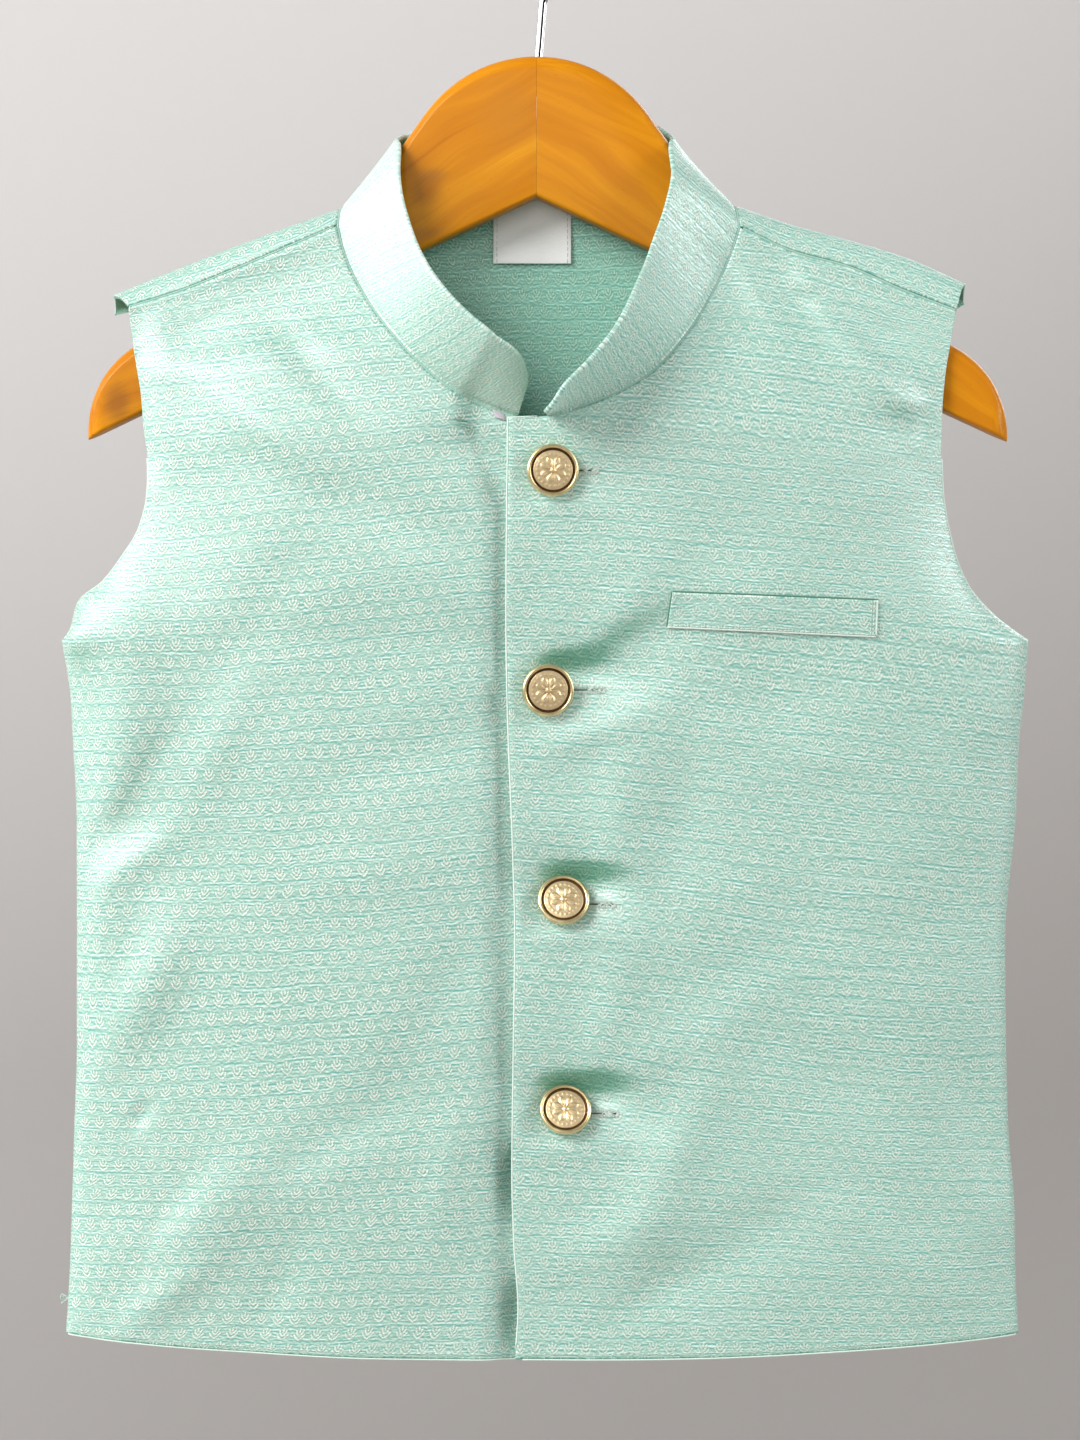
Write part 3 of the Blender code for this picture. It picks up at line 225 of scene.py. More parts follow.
# The chest welt's corners on the left front.
WELT = {"low": ((42.4, -255.6), (113.9, -258.9)), "high": ((44.0, -243.9), (114.3, -246.6))}
WELT_SEAT = 0.12          # from the cloth to the welt
WELT_THICK = 0.7
LABEL_X = (-17.8, 9.6)
LABEL_Z = (-128.0, BACK_NECK_Z - 0.6)    # the ribbon's fold, and the neck seam above it
LABEL_ABOVE = 3.8         # how far the ribbon goes on above the neck seam
LABEL_HALF = 0.35         # half the thickness of the folded ribbon
LABEL_LIFT = 0.35         # how much further it stands off the back at its foot
RIBBON_WALL = 0.5
LINING_WALL = 0.4
LINING_PLACE = (-16.8, -185.2)           # lower left corner of the lining that shows
LINING_SIZE = (3.6, 4.0)
LINING_LEAN, LINING_SAG = 0.8, 1.2       # of its sides, and of its lower edge
LINING_LIFT, LINING_WAVE = 0.75, 0.25    # how far it stands off the right front
LOOSE_THREADS = 9
LOOSE_AT = 0.035          # where they hang, as a share of the rows from the hem up

# Underside of each half of the hanger, from the joint out to its end.
UNDERSIDE = {
    RIGHT: table("out z", "0 -106, 43 -126, 136.4 -180.9, 155.8 -190.2"),
    LEFT: table("out z", "0 -106, 40 -124.7, 141.6 -180.6, 163.6 -190.8"),
}
ARM_OUT = {RIGHT: 139.0, LEFT: 144.5}    # where each arm's top is at ARM_Z

HANGER_ROOM = HANGER_THICKNESS / 2 + GAP + WALL + 0.35   # from the middle to the outside there
REST_ABOVE = 4.0          # further than this above the hanger the cloth may come closer
REST_BELOW = 16.0         # and further than this below it
REST_FADE = 5.0
FADE_AT_EDGE = 8.0        # folds fade out this close to a seam
FRONT_FOLD_FADE = (3.0, 2.8)             # levels between which the large folds fade out
BACK_FOLD_FADE = (2.4, 1.9)
ROWS_AT_NECK = 9          # the solids' rows above level 2; the collar starts at the first
SIDEWAYS = 0.05           # turns a normal at the side seam outwards

# Kinds of stitch: length, gap, how deep their ends lie and how high they rise.
STITCH = {
    "welt foot": (1.5, 0.35, 0.06, 0.2),
    "welt end": (1.1, 0.3, 0.06, 0.22),
    "band": (1.1, 1.3, 0.1, 0.16),
    "hem": (1.2, 0.9, 0.05, 0.14),
    "ribbon": (1.3, 0.7, 0.05, 0.16),
}
# Radii of threads.
THIN, FINE_THREAD, SEWING, WELT_SEWING = 0.12, 0.13, 0.14, 0.17
HOLE_THREAD, SLIT, EDGE_HIGHLIGHT, WELT_SLIT, TUCK = 0.16, 0.26, 0.33, 0.34, 0.42
TUCK_DEPTH = 0.5          # how deep a seam's tuck lies under the outside
EDGE_DEPTH = 0.32         # and the middle of a painted highlight along a turned edge

# Smaller folds of each panel. Those of "under" are on the right front beside the placket.
CREASES = {
    RIGHT: table(FOLD, """
    -152 -182 58 17 90 -5.6, -160 -240 28 19 47 -8, -72 -420 110 46 89 -3,
    -112 -296 30 8 66 -1.2, -150 -338 34 8 86 -1.6, -143 -284 30 11 86 -2.6,
    -136 -304 16 5 58 1.2, -151 -325 14 5 38 0.5, -140 -336 14 5 38 -1.1,
    -134 -374 22 10 70 -2.4, -139 -424 6 3 50 1.4, -130 -458 20 6 58 1,
    -118 -468 26 11 50 -1.2, -132 -488 24 6 40 -1.5, -92 -484 22 7 66 1.1,
    -70 -440 34 9 38 -1, -40 -392 40 10 62 0.9, -34 -446 30 7 78 -1, -20 -462 24 6 84 1.2,
    -62 -215 34 9 -24 1.1, -92 -190 30 7 -38 -1.2, -78 -168 20 6 -46 1.2,
    -40 -236 22 7 -50 -0.9, -44 -300 36 10 20 0.9, -96 -250 34 10 60 0.8,
    -60 -340 30 9 12 -0.8"""),
    LEFT: table(FOLD, """
    33 -342 90 11 89 -0.8, 92 -150 24 5 -52 0.8, 107 -160 30 6 -50 -2.3,
    89 -131 13 4 -55 -2.4, 74 -140 16 4.5 -60 -2.2, 60 -158 26 7 -58 1, 122 -200 14 5 10 0.5,
    128 -178 12 4 -14 -0.9, 6 -214 13 4.5 -6 -1, 25 -252 20 6 44 -1.5, 33 -266 24 11 44 1.6,
    16 -292 18 6 24 -1.5, 34 -252 20 5 38 -0.9, 3 -204 14 8 0 1.6, 5 -264 15 8 0 -2,
    8 -271.6 14 6.2 6 5.2, 4 -282 14 6.5 0 1, 26 -277 14 9 10 1.6, 8.5 -338 15 8.5 4 -3.4,
    11 -345 15 6 3 6.4, 8 -354 14 6 2 1.8, 26 -352 13 9 8 1.4, 9.5 -411 15 8.5 4 -3.4,
    11 -417.5 15 6 2 7, 9 -427 14 6 2 1.8, 26 -425 13 9 8 1.4, 9 -361 14 5 6 -1,
    10 -434 20 6 4 -1.2, 24 -330 46 8 86 -1.3, 46 -322 40 9 80 0.9, 22 -392 34 7 74 -0.9,
    24 -468 26 9 22 -1.4, 34 -488 22 7 30 1, 66 -470 36 9 34 0.9, 60 -392 40 10 30 -0.8,
    102 -412 40 10 -34 0.9, 142 -340 30 8 -66 1, 132 -288 24 7 -50 0.9, 96 -300 34 9 -20 -0.6"""),
    "under": table(FOLD, """
    -9.4 -448 13 4.5 91 6.4, -8.6 -494 13 4.4 90 5.2, -11 -405 26 4 90 0.8,
    -12 -330 44 4.4 90 0.8, -13 -245 40 4.4 90 0.7"""),
    "back": table(FOLD, """
    -100 -205 34 7 -38 1.4, -112 -222 26 6 -44 -1, -30 -190 30 8 -20 -1, 86 -196 32 7 42 1.4,
    104 -176 22 6 48 -1.1, 20 -240 46 9 80 1.2, -60 -330 50 10 70 -1.3, -40 -352 34 8 66 1,
    70 -372 44 9 -64 1.3, -128 -398 28 7 56 1.3, 128 -436 26 7 -58 1.3,
    112 -282 30 8 -46 -1.1, 0 -480 24 8 88 -1.1"""),
}
CREASE_FADE = 14.0        # they fade out this close to a side, and at a shoulder seam
SHOULDER_FADE = 10.0
BACK_CREASE_FADE = (-150.0, -170.0)      # and between these heights of the back
PLACKET_FADE = 12.0
PLACKET_SHARE = 0.35      # part of the left front's creases that is left at its placket
WAVES = ((1.0, 70.0), (0.18, 26.0))      # depth and length of slow and quick unevenness
WELD = 0.002              # joins the back's two halves
THREAD_SIDES = 6
THREAD_GUIDE = (0.2, -1.0, 0.3)          # no thread runs in this direction
NEAREST = 0.55            # an edge is rounded by at most this part of the cell behind it
# Where round the rounded edge of a cloth wall its points lie, from the outside to the inside.
EDGE_TURNS = np.radians((90.0, 50.0, 15.0, -15.0, -50.0, -90.0))

# Directions of the weft, in degrees that it rises to the right, at the placket, at a third and
# two thirds of the way across, and at the side.
WEFT = "z near third two far"
THREADS = {
    RIGHT: table(WEFT, """
    -510 0 0 0 0, -490 0 1 2 0, -460 4 2 3 0, -410 7 6.5 4 0, -360 6.5 5 1.5 0,
    -310 5 5.5 2 0, -260 5.5 6 4 1, -200 6 6.5 6 4, -155 5 6 6 5, -135 5 10 14 16"""),
    LEFT: table(WEFT, """
    -510 0 0 0 4, -490 0 -1 -2 0, -450 -2 -4 -6 -1, -410 -4 -8.5 -5 0, -350 -3 -7 -6.5 -3,
    -290 -2 -6.5 -6 -6, -250 0 -4 -3 -6, -200 -1 -6 -6 -8, -160 -1 -8 -8 -10,
    -135 -1 -14 -20 -22"""),
    "back": table(WEFT, """
    -500 0 0 1 1, -300 0 2 3 2, -150 0 4 6 6"""),
}

MOTIF_PITCH = 5.8
MOTIF_RISE = 5.9
# Half of one flower, as lines in millimetres from its middle. It is mirrored.
MOTIF_LINES = (
    ((0.0, -2.2), (1.05, -1.4)), ((1.05, -1.4), (1.85, -0.1)), ((0.0, -0.75), (0.8, 0.05)),
    ((0.8, 0.05), (1.2, 1.4)), ((0.0, 0.75), (0.0, 2.1)),
)
# The brocade's teal, shade round the flowers, deep mint, mint, pale mint, near white, and the
# flowers' beige and cream.
BROCADE = (
    (0.10, 0.38, 0.335), (0.13, 0.36, 0.29), (0.235, 0.475, 0.40), (0.36, 0.575, 0.485),
    (0.50, 0.70, 0.615), (0.74, 0.88, 0.82), (0.64, 0.69, 0.56), (0.92, 0.96, 0.88),
)
INSIDE_TINT = (0.62, 0.92, 0.84)
BAND_PAINTED_HIGHLIGHT = (0.93, 0.97, 0.95)           # painted highlight over the right side of the neck
BAND_PAINTED_SHADE = (0.36, 0.50, 0.38)            # painted shade at the band's right end
DOWNWARD_PAINTED_SHADE = (0.30, 0.60, 0.48)        # painted shade: multiplies the cloth where it faces down
PAINTED_REFLECTION_ANGLE = math.radians(255.0)       # where round the wire its painted dark reflection lies
# Marks in the wood: place, half width, half height, strength and colour.
WOOD_MARKS = (
    (-41.0, -104.0, 6.5, 6.0, 0.6, (0.34, 0.11, 0.006)),
    (-39.0, -99.0, 6.0, 3.5, 0.6, (0.34, 0.12, 0.015)),
    (-46.0, -119.0, 14.0, 2.4, 0.45, (0.40, 0.15, 0.02)),
    (-12.0, -76.0, 12.0, 16.0, 0.35, (0.50, 0.20, 0.02)),
    (-148.0, -178.0, 5.0, 9.0, 0.6, (0.25, 0.09, 0.012)),
)

# The studio, in metres. Each light has a place, a point it faces, a size, watts and a colour.
FLOOR_Z = -1.35
WALL_RADIUS = 4.4
WALL_TOP = 3.2
COVE = 0.6                # radius between floor and wall
STUDIO = (0.78, 0.765, 0.76)
STUDIO_SHADE = (0.44, 0.42, 0.405)
LIGHTS = {
    "key_light": ((-1.9, -1.85, 1.3), (0.0, 0.0, -0.25), 1.7, 84.0, (1.0, 0.99, 0.975)),
    "side_light": ((-2.3, -0.5, 0.6), (0.0, 0.0, -0.3), 1.2, 33.0, (1.0, 0.99, 0.98)),
    "fill_light": ((2.4, -0.8, 0.5), (0.0, 0.0, -0.3), 1.4, 40.0, (0.98, 0.99, 1.0)),
    "front_light": ((-0.4, -2.6, 0.3), (0.0, 0.0, -0.2), 1.2, 7.0, (1.0, 1.0, 1.0)),
    "back_light": ((1.2, 2.3, 0.8), (0.0, 0.0, -0.3), 1.6, 24.0, (1.0, 1.0, 1.0)),
    "wall_light": ((-2.1, 2.5, 2.3), (-1.2, 4.4, 1.05), 1.2, 50.0, (1.0, 0.99, 0.98)),
}
AIR = (0.95, 0.97, 1.0, 1.0)
AIR_STRENGTH = 0.24
SENSOR = 36.0             # the camera's sensor width, in millimetres
VIEW_DISTANCE = 1.6
VIEW_WIDTH = 0.37584      # what the picture's width covers at the jacket
VIEW_X = -0.00139         # where the camera looks straight at the jacket
VIEW_Z = -0.2877


# Curves and surfaces

def column(rows, name):
    return np.array([getattr(row, name) for row in rows])


def points(rows, x="x", z="z", sign=1.0):
    """The (x, z) points of a table."""
    return np.stack([sign * column(rows, x), column(rows, z)], axis=1)


def smooth(t):
    t = np.clip(t, 0.0, 1.0)
    return t * t * (3.0 - 2.0 * t)


def between(value, start, end):
    """A smooth share that is 0 at start and before it, and 1 from end on."""
    return smooth((value - start) / (end - start))


def unit(vectors):
    return vectors / np.linalg.norm(vectors, axis=-1, keepdims=True)


def hermite(knots, values, at):
    """A smooth curve through values at knots; values may have several columns."""
    rises = (np.diff(values, axis=0).T / np.diff(knots)).T
    before, after = rises[:-1], rises[1:]
    turning = before * after <= 0.0
    mean = 2.0 * before * after / np.where(turning, 1.0, before + after)
    slopes = np.concatenate([rises[:1], np.where(turning, 0.0, mean), rises[-1:]])
    at = np.clip(at, knots[0], knots[-1])
    low = np.clip(np.searchsorted(knots, at, side="right") - 1, 0, len(knots) - 2)
    span = knots[low + 1] - knots[low]
    t = (at - knots[low]) / span
    if values.ndim > 1:
        t, span = t[:, None], span[:, None]
    start, end = values[low], values[low + 1]
    rise_start, rise_end = slopes[low] * span, slopes[low + 1] * span
    line = (2 * t**3 - 3 * t**2 + 1) * start + (3 * t**2 - 2 * t**3) * end
    return line + (t**3 - 2 * t**2 + t) * rise_start + (t**3 - t**2) * rise_end


def running(steps, axis=0):
    """The running total of steps along an axis, from 0."""
    return np.concatenate([0.0 * steps.take([0], axis), np.cumsum(steps, axis)], axis)


def distances(grid, axis=0):
    """Distance along a line of points, or along an axis of a grid of points, from its start."""
    return running(np.linalg.norm(np.diff(grid, axis=axis), axis=-1), axis)


def to_last(grid, axis):
    """Distance of each point from the last row (axis 0) or column (axis 1) of its grid."""
    run = distances(grid, axis)
    return run.take([-1], axis) - run


def pick(line, run, at):
    """What a line has at some distances, where run says how far along each of its rows is."""
    return np.stack([np.interp(at, run, values) for values in line.T], axis=1)


def along(line, fraction):
    """Points at fractions of the length of the smooth curve through a line of points."""
    run = distances(line)
    return hermite(run / run[-1], line, fraction)


def track(rows, name, at, key="level"):
    """A table's column as a smooth function of its key column."""
    return hermite(column(rows, key), column(rows, name), at)


def folds(rows, x, z):
    """How far the folds of a table push the cloth in at x, z."""
    push = np.zeros_like(x)
    for fold in rows:
        angle = math.radians(fold.slant)
        dx, dz = x - fold.x, z - fold.z
        run = dx * math.cos(angle) + dz * math.sin(angle)
        off = dz * math.cos(angle) - dx * math.sin(angle)
        push = push + fold.depth * np.exp(-(run / fold.length) ** 2 - (off / fold.width) ** 2)
    return push


def grid_normals(grid):
    """Unit normals of a grid of points: columns crossed with rows."""
    return unit(np.cross(np.gradient(grid, axis=1), np.gradient(grid, axis=0)))


def levels_for(*counts):
    """Levels of a panel's rows, with a count of rows up to each whole level."""
    spans = [np.linspace(k, k + 1, count // FINE + 1)[:-1] for k, count in enumerate(counts)]
    return np.append(np.concatenate(spans), len(counts))


FRONT_LEVELS = levels_for(120, 42, 36)
BACK_LEVELS = levels_for(110, 44, 20)
OVER_ROWS = 20 // FINE
COLUMNS = 1.0 - (1.0 - np.linspace(0.0, 1.0, 84 // FINE + 1)) ** 1.22    # closer at the side
COLLAR_LEVEL = 2.0 + 1.0 / ROWS_AT_NECK
COLLAR_ROW = int(np.argmin(np.abs(FRONT_LEVELS - COLLAR_LEVEL)))
NECK_ROW = int(np.argmin(np.abs(BACK_LEVELS - 2.0)))


# The shoulder, where the back folds over to the forward seam

def roll(side, t, angle):
    """Outside of the shoulder at fraction t from the neck, angle in front of the fold."""
    rows = SHOULDER[side]
    knots = np.linspace(0.0, 1.0, len(rows))
    fold_x, fold_z, seam_x, seam_z = (
        hermite(knots, column(rows, name), t) for name in rows[0]._fields
    )
    near_neck = (1.0 - np.minimum(t / NECK_SHARE, 1.0)) ** 2
    if angle > 0.0:
        drop = (fold_z - seam_z) / (1.0 - math.cos(SEAM_ANGLE))
    else:
        drop = ROLL_BACK_DROP + (NECK_BACK_DROP - ROLL_BACK_DROP) * near_neck
    x = fold_x + (seam_x - fold_x) * abs(angle) / SEAM_ANGLE
    if angle < 0.0:
        x = fold_x - NECK_ROUND * near_neck * math.sin(angle) ** 4
    depth = ROLL_NECK_DEPTH + (ROLL_TIP_DEPTH - ROLL_NECK_DEPTH) * t
    z = fold_z - drop * (1.0 - math.cos(angle))
    return np.stack([SIGN[side] * x, -depth * math.sin(angle), z], axis=-1)


def seam_normals(side):
    """Unit normals along the forward shoulder seam."""
    step = 0.01
    t = np.clip(COLUMNS, step, 1.0 - step)
    run = roll(side, t + step, SEAM_ANGLE) - roll(side, t - step, SEAM_ANGLE)
    turn = roll(side, t, SEAM_ANGLE - step) - roll(side, t, SEAM_ANGLE)
    return unit(SIGN[side] * np.cross(run, turn))


# The hanger's outline, and the panels that rest on it

def hanger_top(side, out):
    """Height of the hanger's top edge at a distance out from the joint."""
    hump_edge = HUMP_RADIUS * math.sin(HUMP_FLANK)
    hump = np.sqrt(HUMP_RADIUS**2 - np.minimum(out, hump_edge) ** 2)
    flank = HANGER_TOP_Z - HUMP_RADIUS + hump
    flank = flank - np.maximum(out - hump_edge, 0.0) * math.tan(HUMP_FLANK)
    arm = ARM_Z + (ARM_OUT[side] - out) * math.tan(ARM_SLOPE)
    blended = (flank + arm) / 2 + np.sqrt((flank - arm) ** 2 / 4 + ARM_BLEND**2)
    top = np.where(out < hump_edge, flank, blended)
    end_middle = UNDERSIDE[side][-1].out - END_RADIUS
    end_start = end_middle + END_RADIUS * math.sin(ARM_SLOPE)
    end_z = ARM_Z + (ARM_OUT[side] - end_start) * math.tan(ARM_SLOPE)
    end_z -= END_RADIUS * math.cos(ARM_SLOPE)
    reach = np.clip(out - end_middle, 0.0, END_RADIUS)
    return np.where(out > end_start, end_z + np.sqrt(END_RADIUS**2 - reach**2), top)


def hanger_base(side, out):
    """Height of the hanger's underside at a distance out from the joint."""
    return np.interp(out, column(UNDERSIDE[side], "out"), column(UNDERSIDE[side], "z"))


def at_hanger(height, x):
    """The hanger's top or base at x, on whichever half lies there."""
    out = np.abs(x - HANGER_X)
    return np.where(x < HANGER_X, height(RIGHT, out), height(LEFT, out))


def over_hanger(x, y, z):
    """How far above the hanger's upper surface a point is, where the hanger lies under it."""
    side = np.clip(np.abs(y) - HANGER_THICKNESS / 2 + ARM_ROUND, 0.0, ARM_ROUND)
    return z - (at_hanger(hanger_top, x) - ARM_ROUND + np.sqrt(ARM_ROUND**2 - side**2))


def outer_ends(side, levels, inset=0.0):
    """Where rows end: at the side seam and, above the underarm, at the armhole."""
    seam = points(SIDE_SEAM, side, "z", SIGN[side])
    hole = points(ARMHOLE, side + "_x", side + "_z", SIGN[side])
    below = along(seam, np.clip(levels, 0.0, 1.0))
    above = along(hole, np.interp(levels, (1.0, 2.0, 3.0), (0.0, ARMHOLE_AT_NECK, 1.0)))
    above[:, 0] -= SIGN[side] * inset * smooth((levels - 1.0) * 3.0)
    return np.where(levels[:, None] <= 1.0, below, above)


def on_centre_edge(edge, levels):
    """Points of a centre edge from the hem (level 0) to its top (level 2)."""
    run = distances(edge)
    armpit = np.interp(UNDERARM_Z, edge[:, 1], run / run[-1])
    return along(edge, np.interp(levels, (0.0, 1.0, 2.0), (0.0, armpit, 1.0)))


def front_inner_ends(side, levels):
    """Where a front's rows start: at its centre edge, its overlap's top and its neckline."""
    neck = points(NECKLINE[side])
    edge = points(PLACKET if side == LEFT else UNDERLAP)
    centre = on_centre_edge(edge, levels)
    over = np.clip((levels - 2.0) / (COLLAR_LEVEL - 2.0), 0.0, 1.0)[:, None]
    top = edge[-1] + (neck[0] - edge[-1]) * over
    curve = along(neck, np.clip((levels - COLLAR_LEVEL) / (3.0 - COLLAR_LEVEL), 0.0, 1.0))
    levels = levels[:, None]
    return np.where(levels <= 2.0, centre, np.where(levels <= COLLAR_LEVEL, top, curve))


def back_inner_ends(side, levels):
    """Where the rows of half the back start: at the centre back and at the neck seam."""
    centre = on_centre_edge(np.array([[0.0, CENTRE_BACK_HEM_Z], [0.0, BACK_NECK_Z]]), levels)
    share = np.clip(levels - 2.0, 0.0, 1.0)
    curve = along(points(BACK_NECK), share)
    reach = roll(side, 0.0, -math.pi / 2)
    curve[:, 0] *= reach[0] / BACK_NECK[-1].x
    curve[:, 1] += (reach[2] - BACK_NECK[-1].z) * share**2
    return np.where(levels[:, None] <= 2.0, centre, curve)


def flat_rows(starts, ends, levels, top):
    """Points (x, z) across straight rows, with the hem bowed and the top row at top."""
    flat = starts[:, None] + (ends - starts)[:, None] * COLUMNS[:, None]
    hem = HEM_BOW * 4.0 * COLUMNS * (1.0 - COLUMNS)
    flat[:, :, 1] -= hem * between(levels, 1.0, 0.0)[:, None]
    chord = top[:1] + (top[-1:] - top[:1]) * COLUMNS[:, None]
    return flat + (top - chord) * between(levels, 2.0, 3.0)[:, None, None]


def body_depth(rows, flat, ends, levels, shoulder_depth):
    """Distance from the middle plane to the outside at each point."""
    across = np.clip(np.abs(flat[:, :, 0]) / np.abs(ends[:, 0])[:, None], 0.0, 1.0)
    centre, edge, power = (
        track(rows, name, levels)[:, None] for name in ("centre", "edge", "power")
    )
    depth = edge + (centre - edge) * (1.0 - across**SECTION_POWER) ** power
    near_top = between(levels, 2.5, 3.0)[:, None]
    return depth * (1.0 - near_top) + shoulder_depth * near_top


def rest_on_hanger(depth, flat, levels):
    """The cloth lies against the hanger's faces and not inside them."""
    x, z = flat[:, :, 0], flat[:, :, 1]
    below_top = REST_ABOVE - over_hanger(x, 0.0, z)
    above_base = REST_BELOW + z - at_hanger(hanger_base, x)
    near = smooth(np.minimum(below_top, above_base) / REST_FADE)
    return np.maximum(depth, HANGER_ROOM * near * smooth((3.0 - levels) * ROWS_AT_NECK)[:, None])


def fold_share(flat, ends):
    """Folds fade out towards the side seams and armholes."""
    return smooth((np.abs(ends[:, 0])[:, None] - np.abs(flat[:, :, 0])) / FADE_AT_EDGE)


def under_share(x):
    """How far the right front has dipped under the left one, from 0 to 1."""
    start, stop = UNDERLAP_RAMP
    early = UNDERLAP_EARLY * between(FRONT_LEVELS, 1.6, 2.0)[:, None]
    return between(x + early, start, stop)


def panel_grid(side, front):
    """Outside points of a front or half the back, rows from the hem up, columns outwards."""
    levels = FRONT_LEVELS if front else BACK_LEVELS
    starts = (front_inner_ends if front else back_inner_ends)(side, levels)
    ends = outer_ends(side, levels, 0.0 if front else SHOULDER_TIP_BACK)
    top = roll(side, COLUMNS, SEAM_ANGLE if front else -math.pi / 2)
    flat = flat_rows(starts, ends, levels, top[:, [0, 2]])
    depths = FRONT_DEPTH if front else BACK_DEPTH
    depth = body_depth(depths, flat, ends, levels, np.abs(top[:, 1]))
    x, z = flat[:, :, 0], flat[:, :, 1]
    push = folds(FRONT_FOLDS if front else BACK_FOLDS, x, z) * fold_share(flat, ends)
    push = push * between(levels, *(FRONT_FOLD_FADE if front else BACK_FOLD_FADE))[:, None]
    if front and side == RIGHT:
        under = under_share(x)
        push = push * (1.0 + (UNDERLAP_FOLD - 1.0) * under) + (WALL + LAYER_GAP) * under
    depth = rest_on_hanger(depth - push, flat, levels)
    return np.stack([x, -depth if front else depth, z], axis=2)


def keep_on_own_side(outer, normals, side):
    """Turns normals near the side seam, so that the wall does not cross the middle plane."""
    room = np.clip((np.abs(outer[:, :, 1]) - GAP / 2) / WALL, 0.0, 1.0)
    depth = np.sign(normals[:, :, 1]) * np.minimum(np.abs(normals[:, :, 1]), room)
    flat = normals * (1.0, 0.0, 1.0) + (SIGN[side] * SIDEWAYS, 0.0, 0.0)
    flat = unit(flat) * np.sqrt(1.0 - depth**2)[:, :, None]
    turned = flat + depth[:, :, None] * (0.0, 1.0, 0.0)
    return np.where((np.abs(normals[:, :, 1]) > room)[:, :, None], turned, normals)


# The panels with their smaller folds

def waves(x, z, seed, size, count=7):
    """Unevenness of hanging cloth, between -1 and 1, with waves of about this size."""
    rng = np.random.default_rng(seed)
    total = np.zeros_like(x)
    for _ in range(count):
        angle, length = rng.uniform(0, 6.28), size * rng.uniform(0.6, 1.8)
        run = x * math.cos(angle) + z * math.sin(angle)
        total += np.sin(run * 6.283 / length + rng.uniform(0, 6.28))
    return total / count


def smaller_folds(rows, x, z, seed):
    """How far a panel's smaller folds push its cloth in at x, z."""
    uneven = sum(depth * waves(x, z, seed + k, size) for k, (depth, size) in enumerate(WAVES))
    return folds(rows, x, z) + uneven


def front_panel(side):
    """Outside points and normals of a front."""
    outer = panel_grid(side, front=True)
    normals = keep_on_own_side(outer, SIGN[side] * grid_normals(outer), side)
    normals[-1] = seam_normals(side)
    x, z = outer[:, :, 0], outer[:, :, 2]
    at_armhole = between(FRONT_LEVELS, 1.0, 1.2) * between(FRONT_LEVELS, 2.0, 1.8)
    away = 1.0 - smooth(to_last(outer, 1) / CREASE_FADE)
    share = 1.0 - away * (1.0 - at_armhole[:, None])
    share = share * smooth(to_last(outer, 0) / SHOULDER_FADE)
    placket = np.interp(z, column(PLACKET, "z"), column(PLACKET, "x"))
    kept = PLACKET_SHARE + (1.0 - PLACKET_SHARE) * smooth((x - placket) / PLACKET_FADE)
    push = smaller_folds(CREASES[LEFT], x, z, seed=5) * kept
    if side == RIGHT:
        under = under_share(x)
        push = push * under + smaller_folds(CREASES[RIGHT], x, z, seed=3) * (1.0 - under)
        push = push + folds(CREASES["under"], x, z)
    return outer - normals * (push * share)[:, :, None], normals


def back_half(side):
    """Outside points and normals of half the back, with its strip over the shoulder."""
    angles = np.linspace(-math.pi / 2, SEAM_ANGLE - SEAM_GAP_ANGLE, OVER_ROWS + 1)[1:]
    over = np.stack([roll(side, COLUMNS, angle) for angle in angles])
    outer = np.concatenate([panel_grid(side, front=False), over])
    normals = -SIGN[side] * grid_normals(outer)
    below = len(BACK_LEVELS)
    normals[:below] = keep_on_own_side(outer[:below], normals[:below], side)
    normals[-1] = seam_normals(side)
    normals[:NECK_ROW + 1, 0, 0] = 0.0
    normals[:NECK_ROW + 1, 0] = unit(normals[:NECK_ROW + 1, 0])
    x, y, z = np.moveaxis(outer, 2, 0)
    share = smooth(to_last(outer, 1) / CREASE_FADE) * between(z, *BACK_CREASE_FADE) * (y > 0.0)
    push = smaller_folds(CREASES["back"], x, z, seed=7)
    return outer - normals * (push * share)[:, :, None], normals


def cloth_at(panel, x, z):
    """Point and normal of a panel's outside at x, z."""
    outer, normals = panel
    rows, cols = outer.shape[:2]
    gap = (outer[:, :, 0] - x) ** 2 + (outer[:, :, 2] - z) ** 2
    near_r, near_c = np.unravel_index(np.argmin(gap), gap.shape)
    for r in range(max(near_r - 2, 0), min(near_r + 2, rows - 1)):
        for c in range(max(near_c - 2, 0), min(near_c + 2, cols - 1)):
            for some in (((r, r, r + 1), (c, c + 1, c + 1)), ((r, r + 1, r + 1), (c, c + 1, c))):
                p = outer[some]
                flat = np.stack([p[:, 0], p[:, 2], np.ones(3)])
                if abs(np.linalg.det(flat)) > 1e-9:
                    share = np.linalg.solve(flat, (x, z, 1.0))
                    if share.min() > -1e-6:
                        return share @ p, unit(share @ normals[some])
    return outer[near_r, near_c], normals[near_r, near_c]


def on_cloth(panel, x, z):
    """Points and normals of a panel's outside at arrays of x and z."""
    x, z = np.broadcast_arrays(x, z)
    found = np.array([cloth_at(panel, *at) for at in zip(x.ravel(), z.ravel())])
    return found[:, 0].reshape(*x.shape, 3), found[:, 1].reshape(*x.shape, 3)


